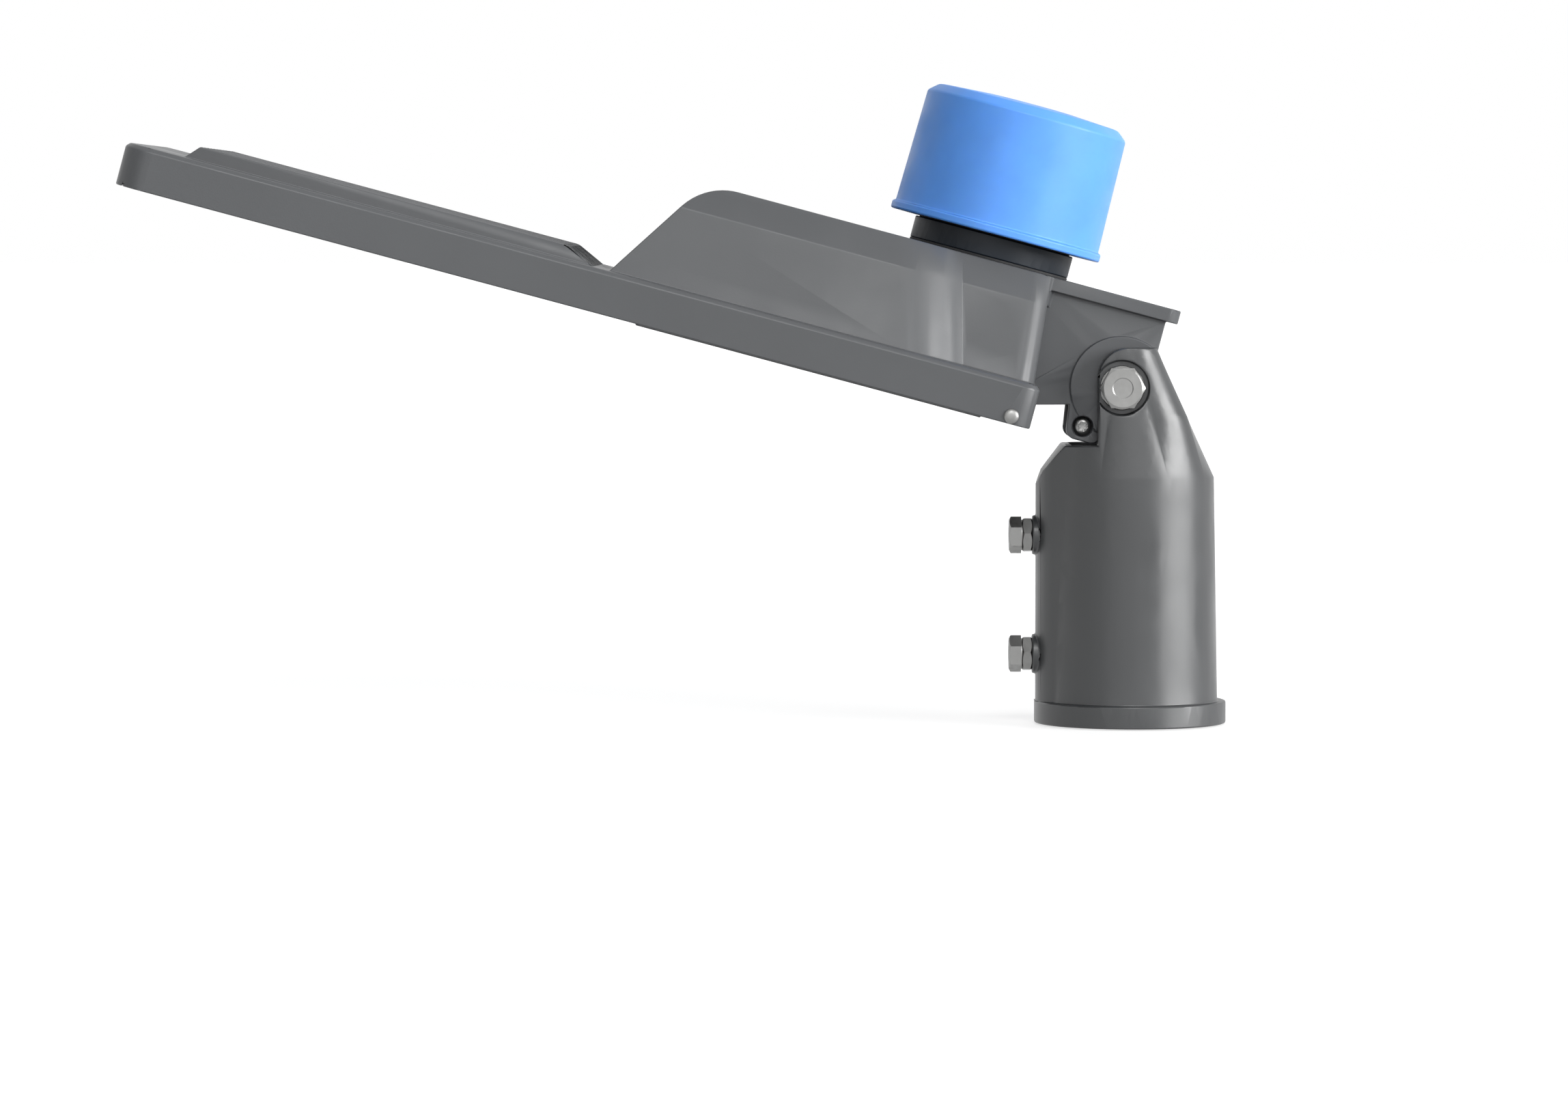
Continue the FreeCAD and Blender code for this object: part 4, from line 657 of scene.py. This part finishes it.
def screw_set(node, out, head_height, drive, sunk=False, pitch=0.7):
    """Domed or flush screws in the place of each solid of a node; out points off the heads."""
    view = frame_at(Vector(), out, FORWARD)
    to_view = view.inverted()
    foot_height = 0.2 * MM

    def screws(bm):
        for points in islands(node):
            low, high = extent(points, view)
            middle = view @ middle_at(low, high, 0)
            matrix = frame_at(middle, out, FORWARD)
            base = high.z - head_height
            radius = (high.x - low.x) / 2
            foot = [point for point in points if (to_view @ point).z < low.z + foot_height]
            foot_low, foot_high = extent(foot, view)
            neck = (foot_high.x - foot_low.x) / 2
            if sunk:
                sunk_head(bm, raised(matrix, high.z), radius, head_height, drive, neck)
            else:
                round_head(bm, raised(matrix, base), radius, head_height, drive)
            back = frame_at(middle, -out, FORWARD)
            thread(bm, back, neck, -base - 0.1 * MM, -low.z, pitch * MM)

    finish_piece(node + "_detailed", mesh_of(node, screws), node, smooth=28)


def make_small_screws():
    """Small screws, each set with its head height and the radius of its driver recess."""
    screw_set("earth_screw", SIDE, 2.6 * MM, 1.7 * MM)
    screw_set("door_screws", -UP, 2.2 * MM, 2.0 * MM, sunk=True)
    screw_set("bezel_screws", -UP, 1.3 * MM, 1.2 * MM, sunk=True, pitch=0.5)
    screw_set("board_screws", -UP, 1.6 * MM, 1.3 * MM, pitch=0.5)
    screw_set("gear_plate_screws", -UP, 2.0 * MM, 1.8 * MM)
    screw_set("socket_screws", UP, 2.4 * MM, 1.7 * MM)


def make_hinge_pins():
    """Pins with domed heads on the two sides of the housing."""
    pin_radius = 1.6 * MM
    head_height = 1.4 * MM

    def pins(bm):
        for points in islands("hinge_pins"):
            low, high = extent(points, WORLD)
            out = Vector((0, -1 if high.y < 0 else 1, 0))
            centre = Vector(((low.x + high.x) / 2, 0, (low.z + high.z) / 2))
            near = min(abs(low.y), abs(high.y))
            far = max(abs(low.y), abs(high.y))
            head = far - head_height
            ring_mesh(bm, [
                circle(pin_radius, near),
                circle(pin_radius, head),
                circle(2.85 * MM, head),
                circle(3.0 * MM, head + 0.25 * MM),
                circle(2.75 * MM, head + 0.8 * MM),
                circle(2.0 * MM, head + 1.2 * MM),
                circle(0.9 * MM, far),
            ], frame_at(centre, out, WORLD_UP))

    finish_piece("hinge_pins_detailed", mesh_of("hinge_pins", pins), "hinge_pins", smooth=40)


# Light engine


def led_places():
    """Lowest and highest corner of each LED package in the head's frame."""
    return [extent(points, HEAD) for points in islands("led_packages")]


def make_leds(places):
    """Ceramic packages, each with a dome of phosphor."""
    dome_steps = 24

    def packages(bm):
        for low, high in places:
            rounded_box(bm, low / MM, (high.x / MM, high.y / MM, high.z / MM), 0.5, 0.15)

    def domes(bm):
        for low, high in places:
            matrix = frame_at(HEAD @ middle_at(low, high, low.z), -UP, FORWARD)
            dome = profile([(1.75, 0), (1.6, 0.35), (1.2, 0.65), (0.6, 0.82)], dome_steps)
            ring_mesh(bm, dome, matrix)

    finish_piece("led_packages_detailed", mesh_of("led_packages", packages), "led_packages",
                 slot="board_white")
    detail("led_domes", mesh_of("led_domes", domes), "head", "phosphor", 60)


def make_lens_plate(places):
    """Moulded lens plate: a two-lobed lens under each LED, as street optics have."""
    low, high = head_span("lens_plate")
    sheet_low = low.z + 2.4 * MM
    sheet_high = sheet_low + 1.6 * MM
    lens_radius = 7.2 * MM
    lens_rim = 0.5
    lens_rise = 1.85
    dip_depth = 0.30
    dip_width = 2.2 * MM
    post_radius = 4 * MM

    def lens_ring(share):
        """Ring at a share of the lens's radius, lower along the line between its two lobes."""
        ring = []
        for x, y, _ in circle(lens_radius * share, 0):
            dip = dip_depth * math.exp(-(y / dip_width) ** 2)
            lobe = math.sqrt(1 - share * share) * (1 - dip)
            ring.append((x, y, (lens_rim + lens_rise * lobe) * MM))
        return ring

    def plate(bm):
        rounded_box(bm, (low.x / MM, low.y / MM, sheet_low / MM),
                    (high.x / MM, high.y / MM, sheet_high / MM), 3, 0.3)
        for led_low, led_high in places:
            rings = profile([(7.5, 0), (7.4, 0.4)])
            for share in (0.94, 0.84, 0.7, 0.52, 0.32, 0.14):
                rings.append(lens_ring(share))
            ring_mesh(bm, rings, frame_at(HEAD @ middle_at(led_low, led_high, sheet_low), -UP, FORWARD))
        for points in islands("board_screws"):
            screw_low, screw_high = extent(points, HEAD)
            matrix = frame_at(HEAD @ middle_at(screw_low, screw_high, sheet_high), UP, FORWARD)
            rod(bm, matrix, post_radius, -0.2 * MM, 1.5 * MM)

    finish_piece("lens_plate_detailed", mesh_of("lens_plate", plate), "lens_plate", smooth=50)


def make_board_details(places):
    """Copper pads and tracks that show as low steps under the board's white mask."""
    level = head_span("led_board")[0].z / MM
    rows = sorted({round((low.y + high.y) / 2 / MM, 2) for low, high in places})
    columns = sorted({round((low.x + high.x) / 2 / MM, 2) for low, high in places})
    half_track = 1.2
    pad_gap = 0.4
    pad_length = 5
    pad_reach = 5.5

    def strip(bm, start, end, left, right, corner):
        """Raised copper between four sides, sunk a little into the board."""
        rounded_box(bm, (start, left, level - 0.07), (end, right, level + 0.2), corner, 0.03)

    def tracks(bm):
        for row in rows:
            strip(bm, columns[0], columns[-1], row - half_track, row + half_track, 0.4)
            for column in columns:
                strip(bm, column - pad_length, column - pad_gap, row - pad_reach, row + pad_reach, 0.8)
                strip(bm, column + pad_gap, column + pad_length, row - pad_reach, row + pad_reach, 0.8)
        for first, second in zip(rows, rows[1:]):
            end = columns[-1] if rows.index(first) % 2 == 0 else columns[0]
            strip(bm, end - half_track, end + half_track, first, second, 0.4)

    detail("led_board_tracks", mesh_of("led_board_tracks", tracks), "head", "board_white")


# Control gear and door


def make_door_details():
    """Raised border and ribs on the gear door, and its breather."""
    low, high = head_span("gear_door")
    left, right = low.y / MM, high.y / MM
    rear, front = low.x / MM, high.x / MM
    inset = 14
    width = 2.6
    border = -0.9
    root = 1
    rib_inset = 34
    half_rib = 1.2
    rib_count = 3
    breather_inset = 26

    def ribs(bm):
        for start in (rear + inset, front - inset - width):
            rounded_box(bm, (start, left + inset, border), (start + width, right - inset, root),
                        1.2, 0.5)
        for start in (left + inset, right - inset - width):
            rounded_box(bm, (rear + inset, start, border), (front - inset, start + width, root),
                        1.2, 0.5)
        for number in range(rib_count):
            middle = left + (right - left) * (number + 1) / (rib_count + 1)
            rounded_box(bm, (rear + rib_inset, middle - half_rib, -0.7),
                        (front - rib_inset, middle + half_rib, root), 1.1, 0.45)

    def breather(bm):
        centre = Vector(((rear + breather_inset) * MM, 0, 0))
        rings = profile([(6.5, -1), (6.5, 1.1), (6.0, 1.6), (3.2, 1.6), (3.0, 1.0)])
        ring_mesh(bm, rings, frame_at(HEAD @ centre, -UP, FORWARD))

    detail("door_ribs", mesh_of("door_ribs", ribs), "door", "housing_paint")
    detail("door_breather", mesh_of("door_breather", breather), "door", "gland_nylon")


def make_driver():
    """Driver in a ribbed case, with a step, a foot and a row of terminals at each end."""
    low, high = [corner / MM for corner in head_span("driver")]
    end_length = 9
    step_rise = 12
    foot_height = 2
    rib_count = 9
    rib_width = 2
    rib_margin = 3.5
    rib_inset = 14
    rib_span = high.x - low.x - 2 * rib_margin - rib_width
    ways = 4
    way_width = 5.6
    way_pitch = 7.2

    def case(bm):
        rounded_box(bm, (low.x, low.y + 6, low.z), (high.x, high.y - 6, high.z), 2.5, 0.8)
        for end in (low.y, high.y - end_length):
            rounded_box(bm, (low.x + 4, end, low.z + step_rise), (high.x - 4, end + end_length, high.z),
                        2.0, 0.6)
            rounded_box(bm, (low.x, end, high.z - foot_height), (high.x, end + end_length, high.z),
                        2.0, 0.4)
        for number in range(rib_count):
            start = low.x + rib_margin + number * rib_span / (rib_count - 1)
            rounded_box(bm, (start, low.y + rib_inset, low.z - 0.6),
                        (start + rib_width, high.y - rib_inset, low.z + 1), 0.8, 0.3)

    def ends(bm):
        for side in (low.y + 1.2, high.y - 5.2):
            for number in range(ways):
                start = low.x + 8 + number * way_pitch
                rounded_box(bm, (start, side, low.z + 9.5), (start + way_width, side + 4, low.z + 13),
                            0.6, 0.3)

    finish_piece("driver_detailed", mesh_of("driver", case), "driver")
    detail("driver_terminals", mesh_of("driver_terminals", ends), "head", "gland_nylon")


def make_surge_protector():
    """Surge protector with a round status lamp."""
    low, high = [corner / MM for corner in head_span("surge_protector")]

    def case(bm):
        rounded_box(bm, low, high, 2.0, 0.8)

    def window(bm):
        matrix = frame_at(HEAD @ (middle_at(low, high, low.z) * MM), -UP, FORWARD)
        ring_mesh(bm, profile([(3.4, -0.2), (3.4, 0.5), (2.9, 0.8)]), matrix)

    finish_piece("surge_protector_detailed", mesh_of("surge", case), "surge_protector")
    detail("surge_lamp", mesh_of("surge_lamp", window), "head", "terminal_nylon")


def make_terminal_block():
    """Three-way terminal block with its clamping screws."""
    dress("terminal_block", 0.5)
    low, high = [corner / MM for corner in head_span("terminal_block")]
    ways = 3
    pitch = (high.y - low.y) / ways
    half_wall = 0.6

    def walls(bm):
        for number in range(ways + 1):
            middle = min(max(low.y + number * pitch, low.y + half_wall), high.y - half_wall)
            rounded_box(bm, (low.x + 1, middle - half_wall, low.z - 1.2),
                        (high.x - 1, middle + half_wall, low.z + 1), 0.4, 0.2)

    def screws(bm):
        for number in range(ways):
            centre = Vector(((low.x + high.x) / 2, low.y + (number + 0.5) * pitch, low.z)) * MM
            matrix = frame_at(HEAD @ centre, -UP, FORWARD)
            round_head(bm, raised(matrix, -0.2 * MM), 2.4 * MM, 1.2 * MM, 1.3 * MM)

    detail("terminal_walls", mesh_of("terminal_walls", walls), "head", "terminal_nylon")
    detail("terminal_screws", mesh_of("terminal_screws", screws), "head", "brass")


def make_gland():
    """Cable gland with a ribbed dome nut and its lock nut."""
    low, high = head_span("cable_gland")
    axis = HEAD @ Vector((0, (low.y + high.y) / 2, (low.z + high.z) / 2))
    steps = 72
    bore = 4 * MM
    thread_radius = 6 * MM
    nut_radius = 9 * MM
    nut_flats = 17 * MM
    seat = -4 * MM

    def ribbed(angle):
        return 1 - 0.035 * (0.5 + 0.5 * math.cos(18 * angle))

    def gland(bm):
        ring_mesh(bm, [
            circle(bore, -high.x, steps),
            circle(5.4 * MM, -high.x, steps),
            circle(thread_radius, -high.x + 0.6 * MM, steps),
            circle(thread_radius, seat, steps),
            circle(nut_radius, seat, steps),
            circle(nut_radius, seat + 2 * MM, steps),
            circle(nut_radius, seat + 2.2 * MM, steps, ribbed),
            circle(8.8 * MM, seat + 7 * MM, steps, ribbed),
            circle(7.6 * MM, seat + 10.5 * MM, steps, ribbed),
            circle(6.2 * MM, seat + 12.7 * MM, steps),
            circle(5.4 * MM, seat + 13 * MM, steps),
            circle(4.4 * MM, seat + 12.7 * MM, steps),
            circle(bore, seat + 12 * MM, steps),
        ], frame_at(axis, -FORWARD, UP), closed=False)

    def nut(bm):
        nut_low, nut_high = head_span("gland_nut")
        matrix = raised(frame_at(axis, FORWARD, UP), nut_low.x)
        hex_nut(bm, matrix, nut_flats, nut_high.x - nut_low.x, thread_radius + FIT)

    finish_piece("cable_gland_detailed", mesh_of("cable_gland", gland), "cable_gland", smooth=28)
    finish_piece("gland_nut_detailed", mesh_of("gland_nut", nut), "gland_nut", smooth=25)


def make_cell_parts():
    """Relay and light sensor inside the photocell."""
    dress("photocell_relay", 0.6)
    dress("light_sensor", 0.3)


# Camera, floor and light


def make_camera():
    """Camera level with the side of the head, a little above it."""
    scene = bpy.context.scene
    scene.view_settings.view_transform = "Standard"
    camera_data = bpy.data.cameras.new("camera")
    camera_data.lens = FOCAL_LENGTH
    camera_data.sensor_width = 36
    camera_data.sensor_fit = "HORIZONTAL"
    camera = bpy.data.objects.new("camera", camera_data)
    scene.collection.objects.link(camera)
    camera.location = CAMERA_PLACE
    camera.rotation_euler = (CAMERA_AIM - CAMERA_PLACE).to_track_quat("-Z", "Y").to_euler()
    scene.camera = camera


def seen_directly(tree):
    """1 for rays from the camera, a reflection or a clear pane, and 0 for all others."""
    path = tree.nodes.new("ShaderNodeLightPath")
    total = path.outputs["Is Camera Ray"]
    for ray in ("Is Glossy Ray", "Is Transmission Ray"):
        node = tree.nodes.new("ShaderNodeMath")
        node.operation = "ADD"
        node.use_clamp = True
        tree.links.new(total, node.inputs[0])
        tree.links.new(path.outputs[ray], node.inputs[1])
        total = node.outputs[0]
    return total


def make_floor():
    """Wide floor just under the part: it looks almost white and still takes a shadow."""
    reach = 30
    gap = 0.0006
    glow_level = 0.70
    mesh = bpy.data.meshes.new("floor")
    corners = [(-reach, -reach, 0), (reach, -reach, 0), (reach, reach, 0), (-reach, reach, 0)]
    mesh.from_pydata(corners, [], [(0, 1, 2, 3)])
    floor = bpy.data.objects.new("floor", mesh)
    floor.location.z = -gap
    bpy.context.scene.collection.objects.link(floor)
    material = bpy.data.materials.new("floor_white")
    material.use_nodes = True
    tree = material.node_tree
    shader = tree.nodes["Principled BSDF"]
    shader.inputs["Base Color"].default_value = (0.4, 0.4, 0.4, 1)
    shader.inputs["Roughness"].default_value = 0.9
    shader.inputs["Emission Color"].default_value = (1, 1, 1, 1)
    glow = tree.nodes.new("ShaderNodeMath")
    glow.operation = "MULTIPLY"
    glow.inputs[1].default_value = glow_level
    tree.links.new(seen_directly(tree), glow.inputs[0])
    tree.links.new(glow.outputs[0], shader.inputs["Emission Strength"])
    mesh.materials.append(material)


def make_world():
    """White where it is seen, and a dim cool grey where it lights the part."""
    world = bpy.data.worlds.new("studio")
    bpy.context.scene.world = world
    world.use_nodes = True
    tree = world.node_tree
    mix = tree.nodes.new("ShaderNodeMix")
    mix.data_type = "RGBA"
    mix.inputs[6].default_value = (0.13, 0.134, 0.142, 1)
    mix.inputs[7].default_value = (1, 1, 1, 1)
    tree.links.new(seen_directly(tree), mix.inputs["Factor"])
    tree.links.new(mix.outputs[2], tree.nodes["Background"].inputs["Color"])


def sun(name, azimuth, elevation, spread, level):
    """Distant light, in degrees from the camera's side: white that faces it renders at its level."""
    data = bpy.data.lights.new(name, "SUN")
    data.angle = math.radians(spread)
    data.energy = level * math.pi
    light = bpy.data.objects.new(name, data)
    around = math.radians(azimuth)
    above = math.radians(elevation)
    offset = Vector((math.sin(around) * math.cos(above), -math.cos(around) * math.cos(above),
                     math.sin(above)))
    light.rotation_euler = (-offset).to_track_quat("-Z", "Y").to_euler()
    bpy.context.scene.collection.objects.link(light)
    return light


def make_lamps():
    """Soft light, mainly from the right of the camera, and one from behind for other views."""
    sun("key", 65, 5, 46, 2.0)
    sun("front", -5, 14, 60, 0.2)
    sun("sky", 5, 37, 22, 0.3)
    rear = sun("rear", 180, 10, 60, 0.6)
    rear.visible_glossy = False


make_camera()
make_floor()
make_world()
make_lamps()
dress_castings()
make_clamp_screws()
make_pivot_fasteners()
make_small_screws()
make_hinge_pins()
leds = led_places()
make_leds(leds)
make_lens_plate(leds)
make_board_details(leds)
make_door_details()
make_driver()
make_surge_protector()
make_terminal_block()
make_gland()
make_cell_parts()
